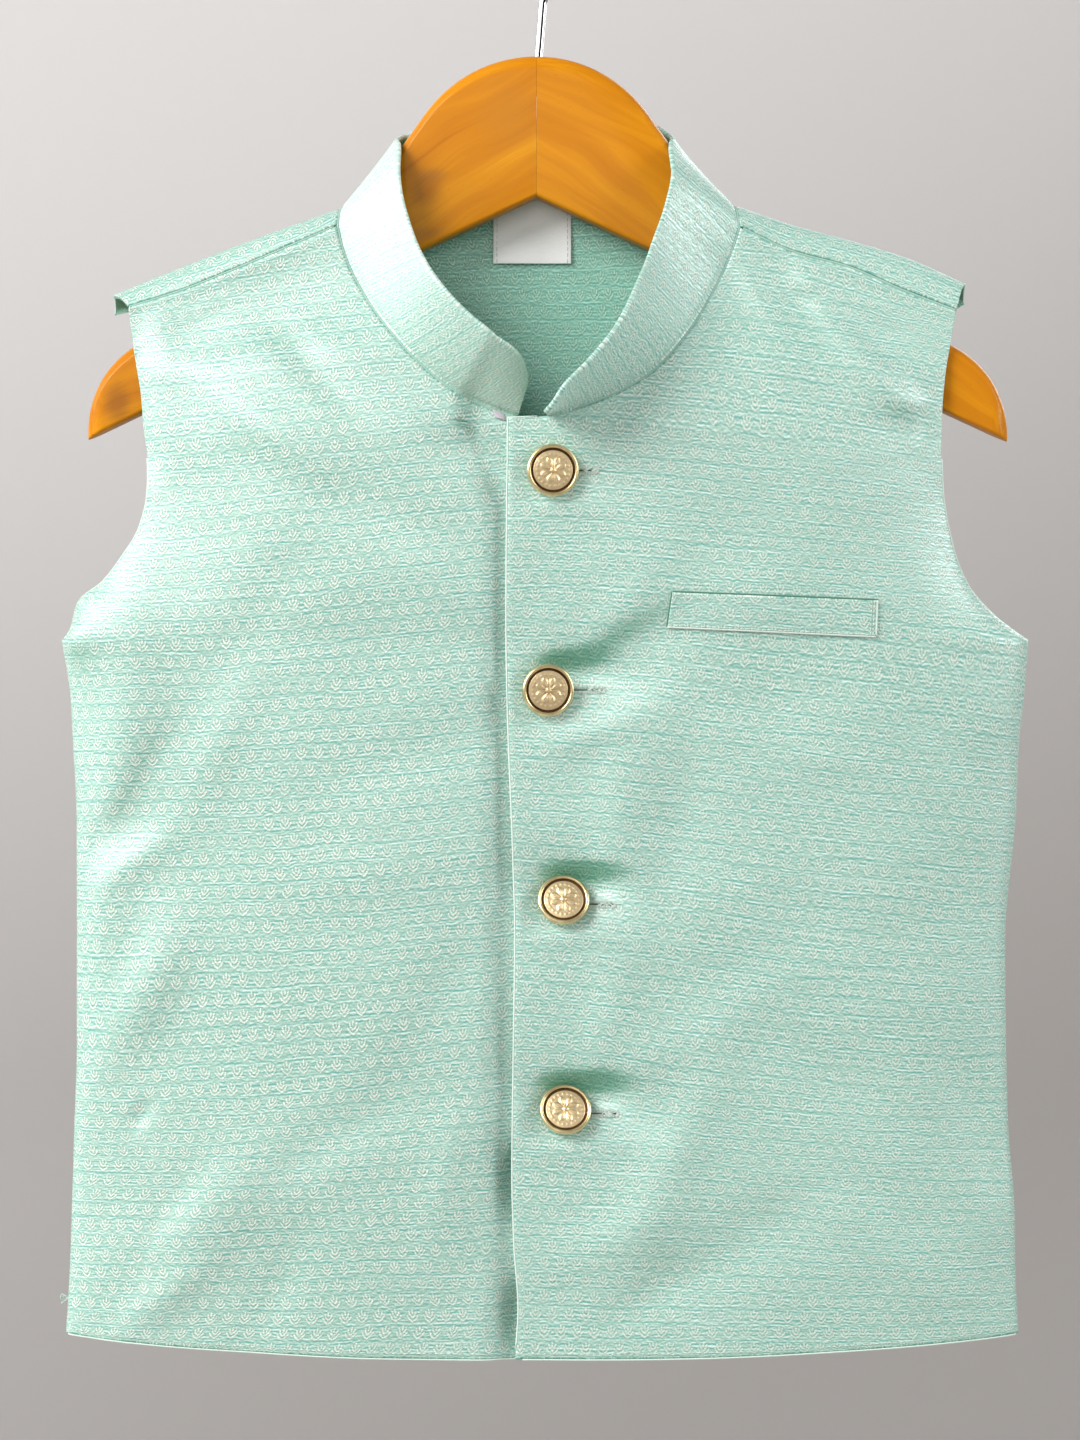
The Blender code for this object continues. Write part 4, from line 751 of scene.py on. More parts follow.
def thread_lines(rows, outer, side, rolled=0):
    """Cloth coordinates in millimetres: along the weft, and up across it."""
    x, z = outer[:, :, 0], outer[:, :, 2]
    share = np.abs(x - x[:, :1]) / np.maximum(np.abs(x[:, -1:] - x[:, :1]), 1.0)
    flat_z = np.clip(z, rows[0].z, rows[-1].z).ravel()
    known = np.stack([track(rows, name, flat_z, "z").reshape(z.shape)
                      for name in rows[0]._fields[1:]])
    at = np.clip(share * 3.0, 0.0, 2.999)
    low, part = at.astype(int), at - at.astype(int)
    r, c = np.indices(z.shape)
    slope = np.tan(np.radians(known[low, r, c] * (1 - part) + known[low + 1, r, c] * part))
    rise = (slope[:, 1:] + slope[:, :-1]) / 2 * np.diff(x, axis=1)
    height = slope[:, :1] * x[:, :1] + running(rise, 1)
    base = z.copy()
    if rolled:
        over = np.linalg.norm(np.diff(outer[rolled - 1:], axis=0), axis=2)
        turned = np.minimum(np.linspace(0.0, 1.6, len(x) - rolled), 1.0)[:, None]
        level = z[rolled - 1] - height[rolled - 1]
        base[rolled:] = level + (level[:1] - level) * turned + np.cumsum(over, axis=0)
        height[rolled:] = 0.0
    u = x[:, :1] + SIGN[side] * distances(outer, 1)
    return np.stack([u, base - height, 0.0 * u], axis=2)


# The collar band

def collar_half(side):
    """Half of the neck seam from the centre front: points, facing and the band's direction."""
    shoulder = len(BACK_LEVELS) - 1
    spans = (
        (FRONTS[side], slice(COLLAR_ROW, None)),
        (BACKS[side], slice(-2, shoulder - 1, -1)),
        (BACKS[side], slice(shoulder - 1, NECK_ROW - 1, -1)),
    )
    edge, facing = (np.concatenate([panel[k][rows, 0] for panel, rows in spans]) for k in (0, 1))
    ends = np.cumsum([len(panel[0][rows]) for panel, rows in spans]) - 1
    run = distances(edge)
    place = np.interp(run, (0.0, *run[ends]), (0.0, 1.0, 2.0, 3.0))
    turn, lean = (
        np.radians(track(COLLAR[side], name, place, "place")) for name in ("turn", "lean")
    )
    inward = -SIGN[side] * np.cos(turn) * np.cos(lean)
    return edge, facing, np.stack([inward, -np.sin(lean), np.sin(turn) * np.cos(lean)], axis=1)


def spread_along(at, reach):
    """Weights that average values over a reach along a seam."""
    weights = np.exp(-((at[:, None] - at[None]) / reach) ** 2) * np.gradient(at)
    return weights / weights.sum(axis=1, keepdims=True)


def collar_band():
    """The band's outside points, normals and cloth coordinates, from its right end."""
    halves = zip(collar_half(RIGHT), collar_half(LEFT))
    edge, facing, band = (np.concatenate([right, left[-2::-1]]) for right, left in halves)
    run = distances(edge)
    right_end, left_end = COLLAR_ROUND * END_STEPS, run[-1] - COLLAR_CORNER * END_STEPS[::-1]
    inner = np.arange(right_end[-1] + BAND_STEP, left_end[0] - 1.0, BAND_STEP * FINE)
    at = np.concatenate([right_end, inner, left_end])
    edge, facing, band = (pick(line, run, at) for line in (edge, facing, band))
    facing, band = unit(facing), unit(band)
    eased = spread_along(at, BAND_EASE) @ (edge + COLLAR_HEIGHT * band)
    from_front = np.minimum(at, at[-1] - at)
    share = smooth((from_front - COLLAR_CORNER) / COLLAR_HEIGHT)[:, None]
    band = unit(band * (1.0 - share) + unit(eased - edge) * share)
    inward = unit(np.cross(unit(np.gradient(edge, at, axis=0)), facing))
    radius = np.where(at < at[-1] / 2, COLLAR_ROUND, COLLAR_CORNER)
    to_end = np.minimum(from_front, radius)
    height = COLLAR_HEIGHT - radius + np.sqrt(radius**2 - (radius - to_end) ** 2)
    share = np.linspace(0.0, 1.0, 18 // FINE + 1)[:, None]
    up = share * height
    outer = edge + NECK_GAP * inward + up[:, :, None] * band
    reach, curl = COLLAR_CURL
    outer[:, :, 1] += curl * np.clip(1.0 - at / reach, 0.0, 1.0) ** 2 * share**1.2
    normals = -grid_normals(outer)
    normals[1:] = unit(spread_along(at, NORMAL_EASE) @ normals[1:])
    normals[0] = facing
    under = outer - COLLAR_WALL * normals
    lift = COLLAR_ROOM - over_hanger(*np.moveaxis(under, 2, 0))
    near = np.abs(under[:, :, 1]) < HANGER_THICKNESS / 2 + GAP
    outer[:, :, 2] += np.where(near, np.maximum(lift, 0.0), 0.0)
    bias = BAND_BIAS * between(at, *BAND_BIAS_FADE)
    return outer, normals, np.stack([up, at + bias * up, 0.0 * up], axis=2)


# Meshes

def link(name, data):
    """An object in the scene for a mesh, a light or the camera."""
    made = bpy.data.objects.new(name, data)
    bpy.context.scene.collection.objects.link(made)
    return made


def finish_object(name, verts, faces, finish, weave=None, weld=0.0, sharp=60.0, slots=None):
    """A smooth mesh object with its cloth coordinates, from points in millimetres."""
    mesh = bpy.data.meshes.new(name)
    mesh.from_pydata((np.asarray(verts) * MM).tolist(), [], faces)
    for one in finish if isinstance(finish, tuple) else (finish,):
        mesh.materials.append(one)
    if slots is not None:
        mesh.polygons.foreach_set("material_index", np.array(slots, np.int32))
    if weave is not None:
        store = mesh.attributes.new("weave", "FLOAT_VECTOR", "POINT")
        store.data.foreach_set("vector", np.asarray(weave, np.float32).ravel())
    work = bmesh.new()
    work.from_mesh(mesh)
    if weld:
        bmesh.ops.remove_doubles(work, verts=work.verts, dist=weld * MM)
    bmesh.ops.recalc_face_normals(work, faces=work.faces)
    work.to_mesh(mesh)
    work.free()
    mesh.shade_smooth()
    mesh.set_sharp_from_angle(angle=math.radians(sharp))
    made = link(name, mesh)
    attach(made, "root")
    return made


def border_of(rows, cols):
    """Rows and columns of the points round the border of a grid, in order."""
    border = [(0, c) for c in range(cols)]
    border += [(r, cols - 1) for r in range(1, rows)]
    border += [(rows - 1, c) for c in range(cols - 2, -1, -1)]
    border += [(r, 0) for r in range(rows - 2, 0, -1)]
    return np.array(border).T


def shell(outer, normals, weave, wall, joined_rows, turn):
    """Points, faces, cloth coordinates and material slots of a wall with rounded edges.

    The first joined_rows rows meet another shell at their first column, and stay open there.
    """
    rows, cols = outer.shape[:2]
    r, c = border_of(rows, cols)
    at, facing = outer[r, c], normals[r, c]
    tangent = np.roll(at, -1, axis=0) - np.roll(at, 1, axis=0)
    inward = np.cross(grid_normals(outer)[r, c], tangent)
    joint = (c == 0) & (r <= joined_rows) & (joined_rows > 0)
    inward[joint] = (0.0, 0.0, -1.0)
    inward[joint & (r == 0)] = (0.0, 0.0, 1.0)
    inward = unit(inward - facing * np.sum(inward * facing, axis=1, keepdims=True))
    behind = outer[np.clip(r, 1, rows - 2), np.clip(c, 1, cols - 2)]
    pull = np.minimum(wall * turn, NEAREST * np.linalg.norm(behind - at, axis=1))
    pull[joint & (r > 0) & (r < joined_rows)] = 0.0
    rings = [at + facing * wall / 2 * (math.sin(angle) - 1.0)
             + inward * (pull * (1.0 - math.cos(angle)))[:, None] for angle in EDGE_TURNS]
    top, bottom = outer.copy(), outer - wall * normals
    top[r, c], bottom[r, c] = rings[0], rings[-1]
    verts = np.concatenate([top.reshape(-1, 3), bottom.reshape(-1, 3), *rings[1:-1]])
    weaves = [weave.reshape(-1, 3)] * 2 + [weave[r, c]] * (len(rings) - 2)
    number = np.arange(rows * cols).reshape(rows, cols)
    cells = [number[:-1, :-1], number[:-1, 1:], number[1:, 1:], number[1:, :-1]]
    above = np.stack(cells, axis=-1).reshape(-1, 4)
    below = above[:, ::-1] + number.size
    loops = [number[r, c]]
    loops += [2 * number.size + k * len(r) + np.arange(len(r)) for k in range(len(rings) - 2)]
    loops.append(number[r, c] + number.size)
    closed = ~(joint & np.roll(joint, -1))
    rim = [np.stack([np.roll(high, -1), high, low, np.roll(low, -1)], axis=1)[closed]
           for high, low in zip(loops, loops[1:])]
    faces = np.concatenate([above, below, *rim])
    slots = np.repeat((0, 1, 0), (len(above), len(below), len(faces) - 2 * len(above)))
    return verts, faces, np.concatenate(weaves), slots


def cloth_piece(name, sheets, wall, finish, joined_rows=0, turn=0.5):
    """One piece of cloth from sheets of outside points, normals and cloth coordinates."""
    parts, first = [], 0
    for sheet in sheets:
        verts, faces, weave, slots = shell(*sheet, wall, joined_rows, turn)
        parts.append((verts, faces + first, weave, slots))
        first += len(verts)
    verts, faces, weave, slots = (np.concatenate(part) for part in zip(*parts))
    return finish_object(name, verts, faces.tolist(), finish, weave, WELD if joined_rows else 0.0,
                         slots=slots if isinstance(finish, tuple) else None)


def circle(sides):
    """Angles round a circle."""
    return np.arange(sides) * 2 * math.pi / sides


def rings_round(middle, one, two, radius, sides):
    """Rings of points round each middle, in the plane of its directions one and two."""
    turns = circle(sides)[:, None]
    return middle[:, None] + radius * (np.cos(turns) * one[:, None] + np.sin(turns) * two[:, None])


def ring_mesh(rings):
    """Points and faces through rings of equal size, with a fan over each end."""
    rings = np.asarray(rings)
    number = np.arange(len(rings) * rings.shape[1]).reshape(rings.shape[:2])
    beside = np.roll(number, -1, axis=1)
    walls = np.stack([number[:-1], beside[:-1], beside[1:], number[1:]], axis=-1)
    faces = walls.reshape(-1, 4).tolist()
    for end, middle in ((0, number.size), (-1, number.size + 1)):
        faces += [(a, b, middle) for a, b in zip(number[end].tolist(), beside[end].tolist())]
    return np.concatenate([rings.reshape(-1, 3), rings[[0, -1]].mean(axis=1)]), faces


def many_threads(name, paths, radius, finish):
    """Threads through lines of points: tubes with their ends closed."""
    parts, faces, first = [], [], 0
    for path in paths:
        run = unit(np.gradient(path, axis=0))
        one = unit(np.cross(run, THREAD_GUIDE))
        verts, some = ring_mesh(rings_round(path, one, np.cross(run, one), radius, THREAD_SIDES))
        faces += [[first + v for v in face] for face in some]
        parts.append(verts)
        first += len(verts)
    made = finish_object(name, np.concatenate(parts), faces, finish, sharp=180.0)


def stitches(line, facing, kind, steps=5):
    """Short threads along a line on the cloth, each rising out of it and back in."""
    length, gap, sink, arch = STITCH[kind]
    run = distances(line)
    count = max(int(run[-1] // (length + gap)), 1)
    lift = (sink + arch) * np.sin(np.linspace(0.0, math.pi, steps)) - sink
    paths = []
    for start in (np.arange(count) + 0.5) * run[-1] / count - length / 2:
        at = start + np.linspace(0.0, length, steps)
        paths.append(pick(line, run, at) + unit(pick(facing, run, at)) * lift[:, None])
    return paths


# Materials

class Value:
    """What a node gives, so that a material's arithmetic can be written with + - * /."""

    def __init__(self, graph, socket):
        self.graph, self.socket = graph, socket

    def __add__(self, other):
        return self.graph.math("ADD", self, other)

    def __sub__(self, other):
        return self.graph.math("SUBTRACT", self, other)

    def __mul__(self, other):
        return self.graph.math("MULTIPLY", self, other)

    def __truediv__(self, other):
        return self.graph.math("DIVIDE", self, other)


class Graph:
    """Short names for building a material from nodes."""

    def __init__(self, name):
        self.material = bpy.data.materials.new(name)
        self.material.use_nodes = True
        self.tree = self.material.node_tree
        self.shader = self.tree.nodes["Principled BSDF"]

    def add(self, kind, inputs=None, output=0, **settings):
        node = self.tree.nodes.new("ShaderNode" + kind)
        for key, value in settings.items():
            setattr(node, key, value)
        for key, value in (inputs or {}).items():
            self.plug(node.inputs[key], value)
        return Value(self, node.outputs[output])

    def plug(self, socket, value):
        if isinstance(value, Value):
            self.tree.links.new(value.socket, socket)
        else:
            socket.default_value = value

    def math(self, operation, *values, clamp=False):
        return self.add("Math", dict(enumerate(values)), operation=operation, use_clamp=clamp)

    def vector(self, operation, *values, output=0):
        return self.add("VectorMath", dict(enumerate(values)), output, operation=operation)

    def scale(self, vector, share):
        return self.add("VectorMath", {0: vector, "Scale": share}, operation="SCALE")

    def weave(self):
        return self.add("Attribute", output="Vector", attribute_name="weave")

    def place(self):
        return self.add("TexCoord", output="Object")

    def split(self, vector):
        self.add("SeparateXYZ", {0: vector})
        return [Value(self, socket) for socket in self.tree.nodes[-1].outputs[:3]]

    def join(self, x, y, z=0.0):
        return self.add("CombineXYZ", {0: x, 1: y, 2: z})

    def noise(self, place, scale=1.0, detail=1.0, roughness=0.5):
        place = self.join(*place) if isinstance(place, tuple) else place
        return self.add("TexNoise", {"Vector": place, "Scale": scale, "Detail": detail,
                                     "Roughness": roughness})

    def ramp(self, value, interpolation, *stops):
        """A colour that follows a value through (position, colour) stops."""
        out = self.add("ValToRGB", {"Fac": value})
        ramp = self.tree.nodes[-1].color_ramp
        ramp.interpolation = interpolation
        while len(ramp.elements) < len(stops):
            ramp.elements.new(0.5)
        for element, (position, colour) in zip(ramp.elements, stops):
            element.position = position
            element.color = (*colour, 1.0)
        return out

    def mix(self, share, one, two):
        node = self.tree.nodes.new("ShaderNodeMix")
        node.data_type = "RGBA"
        self.plug(node.inputs[0], share)
        for socket, value in ((node.inputs[6], one), (node.inputs[7], two)):
            self.plug(socket, (*value, 1.0) if isinstance(value, tuple) else value)
        return Value(self, node.outputs[2])

    def range(self, value, low, high, to_low=0.0, to_high=1.0):
        return self.add("MapRange", {0: value, 1: low, 2: high, 3: to_low, 4: to_high},
                        interpolation_type="SMOOTHSTEP")

    def bump(self, height, distance, strength=1.0):
        """A bump whose height is in millimetres."""
        return self.add("Bump", {"Height": height, "Distance": distance * MM,
                                 "Strength": strength})

    def finish(self, **sockets):
        for name, value in sockets.items():
            self.plug(self.shader.inputs[name.replace("_", " ")], value)
        return self.material


def segment(g, place, start, end):
    """Distance from a point to the line between two points of the pattern."""
    reach = (end[0] - start[0], end[1] - start[1], 0.0)
    offset = g.vector("SUBTRACT", place, (*start, 0.0))
    run = g.vector("DOT_PRODUCT", offset, reach, output="Value")
    share = g.math("DIVIDE", run, reach[0] ** 2 + reach[1] ** 2, clamp=True)
    return g.vector("DISTANCE", offset, g.scale(reach, share), output="Value")


def motif(g, u, v):
    """Distance from the nearest line of a small woven flower, in millimetres."""
    row = v / MOTIF_RISE
    half = g.math("FLOORED_MODULO", g.math("FLOOR", row), 2.0) * 0.5
    across = g.math("FRACT", u / MOTIF_PITCH + half) - 0.5
    up = g.math("FRACT", row) - 0.5
    place = g.join(g.math("ABSOLUTE", across * MOTIF_PITCH), up * MOTIF_RISE)
    least, *others = [segment(g, place, start, end) for start, end in MOTIF_LINES]
    for other in others:
        least = g.math("MINIMUM", least, other)
    return least


def brocade(name, tint=(1.0, 1.0, 1.0), bold=1.0, band=False):
    """Slubbed satin ground with uneven weft threads, and rows of small woven flowers."""
    g = Graph(name)
    shades = [tuple(c * t for c, t in zip(colour, tint)) for colour in BROCADE]
    teal, shade, deep, mint, pale, white, beige, cream = shades
    u, v, _ = g.split(g.weave())
    v = v + (g.noise((u * 0.03, v * 0.03)) - 0.5) * 2.4

    def streaks(along, across, seed, up=0.0):
        return g.noise((u * along, (v + up) * across, seed), roughness=0.6)

    def ribs(along, across, seed):
        """Streaks with a shadow below each of them."""
        return streaks(along, across, seed) - streaks(along, across, seed, 0.62)

    threads, flecks, lines = ribs(0.08, 1.4, 0.0), ribs(0.60, 1.6, 7.0), ribs(0.016, 1.25, 13.0)
    tone = threads * 0.30 + flecks * 0.46 + lines * 0.22 + 0.485
    ground = g.ramp(tone, "LINEAR", (0.34, teal), (0.42, deep), (0.50, mint), (0.57, pale),
                    (0.66, white))
    slub = g.range(streaks(0.013, 1.5, 21.0), 0.68, 0.75)
    ground = g.mix(slub * 0.55, ground, white)
    thin = g.range(streaks(0.02, 1.6, 31.0), 0.32, 0.25)
    ground = g.mix(thin * 0.45, ground, teal)
    fray = g.noise((u * 1.6, v * 3.4, 2.0))
    worn = g.noise((u * 0.05, v * 0.07, 9.0))
    line = motif(g, u, v) - ((fray - 0.5) * 0.7 + 0.25)
    flower, outline = g.range(line, 0.12, -0.08), g.range(line, 0.50, 0.05)
    seen = g.range(worn, 0.32, 0.56, 0.60, 0.86) * g.range(flecks, -0.20, 0.14, 0.5, 1.1)
    # painted highlight: the flowers stand out more towards negative x, the lit side
    painted_flower_highlight = g.range(u, 30.0, -110.0, 0.84 * bold, 1.25 * bold)
    seen = g.math("MULTIPLY", seen, painted_flower_highlight, clamp=True)
    ground = g.mix(outline * seen * 0.62, ground, shade)
    woven = g.mix(flower * seen, ground, g.mix(g.range(fray, 0.35, 0.65), beige, cream))
    if band:
        # painted highlight along the band over the right side of the neck, and painted shade at
        # its right end
        painted_sheen = g.range(v, 30.0, 96.0, 0.0, 0.28) * g.range(v, 140.0, 112.0)
        woven = g.mix(painted_sheen, woven, BAND_PAINTED_HIGHLIGHT)
        woven = g.mix(g.range(v, 54.0, 10.0, 0.0, 0.5), woven, BAND_PAINTED_SHADE)
    else:
        # painted shade: cloth that faces down is darkened towards deep green
        _, _, down = g.split(g.add("TexCoord", output="Normal"))
        shaded_cloth = g.vector("MULTIPLY", woven, DOWNWARD_PAINTED_SHADE)
        woven = g.mix(g.range(down, -0.16, -0.50), woven, shaded_cloth)
    return g.finish(Base_Color=woven, Roughness=g.range(tone, 0.4, 0.62, 0.50, 0.38),
                    Normal=g.bump(tone * 0.34 + flower * 0.3, 0.28), Specular_IOR_Level=1.0,
                    IOR=1.6, Sheen_Weight=0.25, Sheen_Roughness=0.45,
                    Sheen_Tint=(0.9, 1.0, 0.97, 1.0), Anisotropic=0.3)


def satin():
    """White ribbon of the neck label, left blank."""
    g = Graph("label_satin")
    u, v, _ = g.split(g.weave())
    ribs = g.noise((u * 0.4, v * 7.0))
    broad = g.noise((u * 0.10, v * 0.16, 4.0))
    return g.finish(Base_Color=g.mix(ribs, (0.99, 0.96, 0.99), (1.0, 1.0, 1.0)),
                    Roughness=g.range(ribs, 0.3, 0.7, 0.34, 0.24), Specular_IOR_Level=0.6,
                    Normal=g.bump(ribs * 0.2 + broad, 0.35, 0.8), Sheen_Weight=0.3)


def varnished_wood():
    """Orange varnished softwood: grain along the arm, knots and streaks under a clear coat."""
    g = Graph("varnished_wood")
    u, v, w = g.split(g.weave())
    bent = g.noise((u * 0.012, v * 0.03, w), detail=2.0) - 0.5
    v = v + bent * 26.0
    bands = g.noise((u * 0.006, v * 0.11, w * 0.06), detail=3.0, roughness=0.6)
    fibres = g.noise((u * 0.05, v * 1.8, w), detail=2.0)
    pores = g.noise((u * 0.5, v * 2.6, w))
    colour = g.ramp(bands, "EASE", (0.28, (0.42, 0.120, 0.001)), (0.45, (0.57, 0.195, 0.002)),
                    (0.56, (0.65, 0.245, 0.003)), (0.72, (0.74, 0.31, 0.008)))
    colour = g.mix(g.range(fibres, 0.35, 0.7, 0.0, 0.35), colour, (0.54, 0.20, 0.008))
    colour = g.mix(g.range(pores, 0.68, 0.8, 0.0, 0.5), colour, (0.32, 0.10, 0.005))
    x, _, z = g.split(g.scale(g.place(), 1.0 / MM))
    for mark_x, mark_z, wide, tall, share, tint in WOOD_MARKS:
        dx, dz = (x - mark_x) / wide, (z - mark_z) / tall + bent * 2.0
        far = g.math("SQRT", dx * dx + dz * dz) + (fibres - 0.5) * 0.8
        colour = g.mix(g.range(far, 1.25, 0.25, 0.0, share), colour, tint)
    return g.finish(Base_Color=colour, Roughness=0.45, Coat_Weight=0.13, Coat_Roughness=0.10,
                    Specular_IOR_Level=0.1, Normal=g.bump(fibres * 0.35 + bands, 0.25, 0.5))


def brass(name, colour, roughness, grit):
    """Brass with fine grit and broad, slightly duller clouds."""
    g = Graph(name)
    fine = g.noise(g.place(), 2600.0)
    broad = g.noise(g.place(), 260.0, detail=2.0)
    tone = g.mix(g.range(broad, 0.35, 0.7), tuple(c * 0.72 for c in colour), colour)
    return g.finish(Base_Color=tone, Metallic=1.0, Normal=g.bump(fine, grit, 0.8),
                    Roughness=g.range(broad, 0.3, 0.7, roughness * 1.25, roughness))


def chrome():
    """Drawn wire under thin chrome, with a painted dark reflection along its front and its back.
    """
    g = Graph("chrome_wire")
    drawn = g.noise(g.vector("MULTIPLY", g.place(), (900.0, 900.0, 60.0)), detail=2.0)
    worn = g.noise(g.place(), 120.0, detail=2.0)
    reflection_way = (math.cos(PAINTED_REFLECTION_ANGLE), math.sin(PAINTED_REFLECTION_ANGLE), 0.0)
    toward = g.math("ABSOLUTE", g.vector("DOT_PRODUCT", g.weave(), reflection_way, output="Value"))
    toward = toward + (worn - 0.5) * 0.02
    colour = g.mix(g.range(worn, 0.4, 0.7), (0.80, 0.80, 0.82), (0.70, 0.69, 0.68))
    # painted reflection: a dark streak where the wire faces along this way, on both sides
    colour = g.mix(g.range(toward, 0.93, 0.975), colour, (0.03, 0.03, 0.035))
    return g.finish(Base_Color=colour, Metallic=1.0, Normal=g.bump(drawn, 0.01, 0.3),
                    Roughness=g.range(worn, 0.3, 0.7, 0.10, 0.18))


def yarn(name, colour, shade):
    """Twisted thread, or cloth seen only as a thin line."""
    g = Graph(name)
    twist = g.noise(g.place(), 3000.0)
    return g.finish(Base_Color=g.mix(twist, shade, colour), Roughness=0.75, Sheen_Weight=0.3,
                    Normal=g.bump(twist, 0.08, 0.7))


def backdrop():
    """Studio paper with painted shade, from pale at its upper left to darker low down."""
    g = Graph("studio_paper")
    x, _, z = g.split(g.place())
    # painted shade: darker low down and towards positive x
    fall = g.range(z - x * 0.55, -1.32, 0.96)
    cloud = (g.noise(g.place(), 0.6, detail=3.0) - 0.5) * 0.12
    share = g.math("ADD", fall, cloud, clamp=True)
    return g.finish(Base_Color=g.mix(share, STUDIO_SHADE, STUDIO), Roughness=0.9)


# Seams and edges

def declare_sheet(node):
    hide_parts(node)


def welt_patch():
    """Points and normals of the welt's outside, just over the left front."""
    up = np.linspace(0.0, 1.0, 10 // FINE + 1)[:, None, None]
    out = np.linspace(0.0, 1.0, 56 // FINE + 1)[:, None]
    ends = np.array(WELT["low"]) * (1.0 - up) + np.array(WELT["high"]) * up
    at = ends[:, :1] * (1.0 - out) + ends[:, 1:] * out
    outer, normals = on_cloth(FRONTS[LEFT], at[:, :, 0], at[:, :, 1])
    return outer + (WELT_SEAT + WELT_THICK) * normals, normals


def welt_lines(outer, normals):
    """Painted shade in the open slit along the welt's top and inner end, and the stitches that
    hold it down.
    """
    rims = {
        "foot": (outer[0], outer[1], normals[0]),
        "top": (outer[-1], outer[-2], normals[-1]),
        "inner": (outer[:, 0], outer[:, 1], normals[:, 0]),
        "outer": (outer[:, -1], outer[:, -2], normals[:, -1]),
    }

    def beside(rim, outward, lift, steps):
        """A line beside one of the welt's rims, and how the cloth faces along it."""
        line, behind, facing = rims[rim]
        line = line + outward * unit(line - behind)
        run = distances(line)
        at = np.linspace(0.0, run[-1], steps)
        facing = unit(pick(facing, run, at))
        return pick(line, run, at) + lift * facing, facing

    # the slit is a dark thread of painted shade
    slit = [beside("top", outward=0.28, lift=-WELT_THICK, steps=60 // FINE)[0],
            beside("inner", outward=0.22, lift=-WELT_THICK, steps=12)[0]]
    many_threads("welt_slit", slit, WELT_SLIT, YARN["slit"])
    sewn = stitches(*beside("foot", outward=-0.5, lift=0.0, steps=90 // FINE), "welt foot")
    for inset in (1.0, 1.9):
        sewn += stitches(*beside("outer", outward=-inset, lift=0.0, steps=20), "welt end")
    many_threads("welt_stitches", sewn, WELT_SEWING, YARN["pale"])
    # a pale line of painted highlight along the welt's foot and outer end
    edge = [beside("foot", outward=0.12, lift=-0.28, steps=60 // FINE)[0],
            beside("outer", outward=0.12, lift=-0.28, steps=12)[0]]
    many_threads("welt_edge_highlight", edge, TUCK, YARN["edge"])


def seam_tucks():
    """The folded cloth seen down inside the band's seam and the two shoulder seams."""
    band, facing, _ = (part[:2, 2:-2] for part in BAND)
    paths = [band[0] - TUCK_DEPTH * facing[0] - 0.25 * unit(band[1] - band[0])]
    for side in (RIGHT, LEFT):
        (front, front_normals), (back, _) = FRONTS[side], BACKS[side]
        seam = (front[-1] + back[-1]) / 2 - TUCK_DEPTH * front_normals[-1]
        paths.append(seam[1:-1])
    many_threads("seam_tucks", paths, TUCK, YARN["tuck"])


def edge_highlight_lines():
    """Painted highlight along the turned edge of the hem, the placket and the armholes."""
    paths = []
    for side in (RIGHT, LEFT):
        for levels, (outer, normals) in ((FRONT_LEVELS, FRONTS[side]), (BACK_LEVELS, BACKS[side])):
            armhole = (levels > 1.02) & (levels < 1.98)
            rims = [(outer[0, 1:-1], normals[0, 1:-1])]
            rims.append((outer[:len(levels)][armhole, -1], normals[:len(levels)][armhole, -1]))
            if side == LEFT and levels is FRONT_LEVELS:
                rims.append((outer[2:COLLAR_ROW, 0], normals[2:COLLAR_ROW, 0]))
            paths += [line - EDGE_DEPTH * facing for line, facing in rims]
    many_threads("edge_highlight_lines", paths, EDGE_HIGHLIGHT, YARN["edge"])


def edge_stitches():
    """Stitches round the inside of the band's top edge, and along the hem."""
    band, facing, _ = BAND
    inward = unit(band[-2] - band[-1])
    top = band[-1] - COLLAR_WALL * 0.35 * facing[-1] + 0.4 * inward
    sewn = stitches(top, facing[-1] - inward, "band")
    many_threads("collar_edge_stitches", sewn, FINE_THREAD, YARN["green"])
    hem = []
    for side in (RIGHT, LEFT):
        for outer, normals in (FRONTS[side], BACKS[side]):
            line, facing = outer[1, 2:-3], normals[1, 2:-3]
            hem += stitches(line + 0.02 * facing, facing, "hem")
    many_threads("hem_stitches", hem, SEWING, YARN["pale"])


# Small parts

def pointing(vector, axis):
    """A unit vector, turned round if it points down an axis."""
    return unit(vector) * np.sign(vector[axis])


def rosette(radius, turn):
    """Height of the button's pressed ornament: a flower of petals in a ring of beads."""
    petal = math.pi / PETALS
    off = np.abs((turn % (2 * petal)) - petal) / petal
    inner, outer = PETAL_REACH
    reach = np.clip((radius - inner) / (outer - inner), 0.0, 1.0)
    width = np.maximum(np.sin(math.pi * reach) ** 0.7, 1e-3)
    height = PETAL_HEIGHT * smooth(1.15 - off / width) * (reach > 0) * (reach < 1)
    height -= VEIN_DEPTH * np.exp(-(off / 0.13) ** 2) * np.sin(math.pi * reach)
    height += BOSS_HEIGHT * np.exp(-(radius / BOSS_RADIUS) ** 4)
    beads = np.exp(-((radius - BEAD_PLACE) / BEAD_WIDTH) ** 2)
    return height + BEAD_HEIGHT * np.maximum(np.cos(turn * BEADS), 0.0) * beads


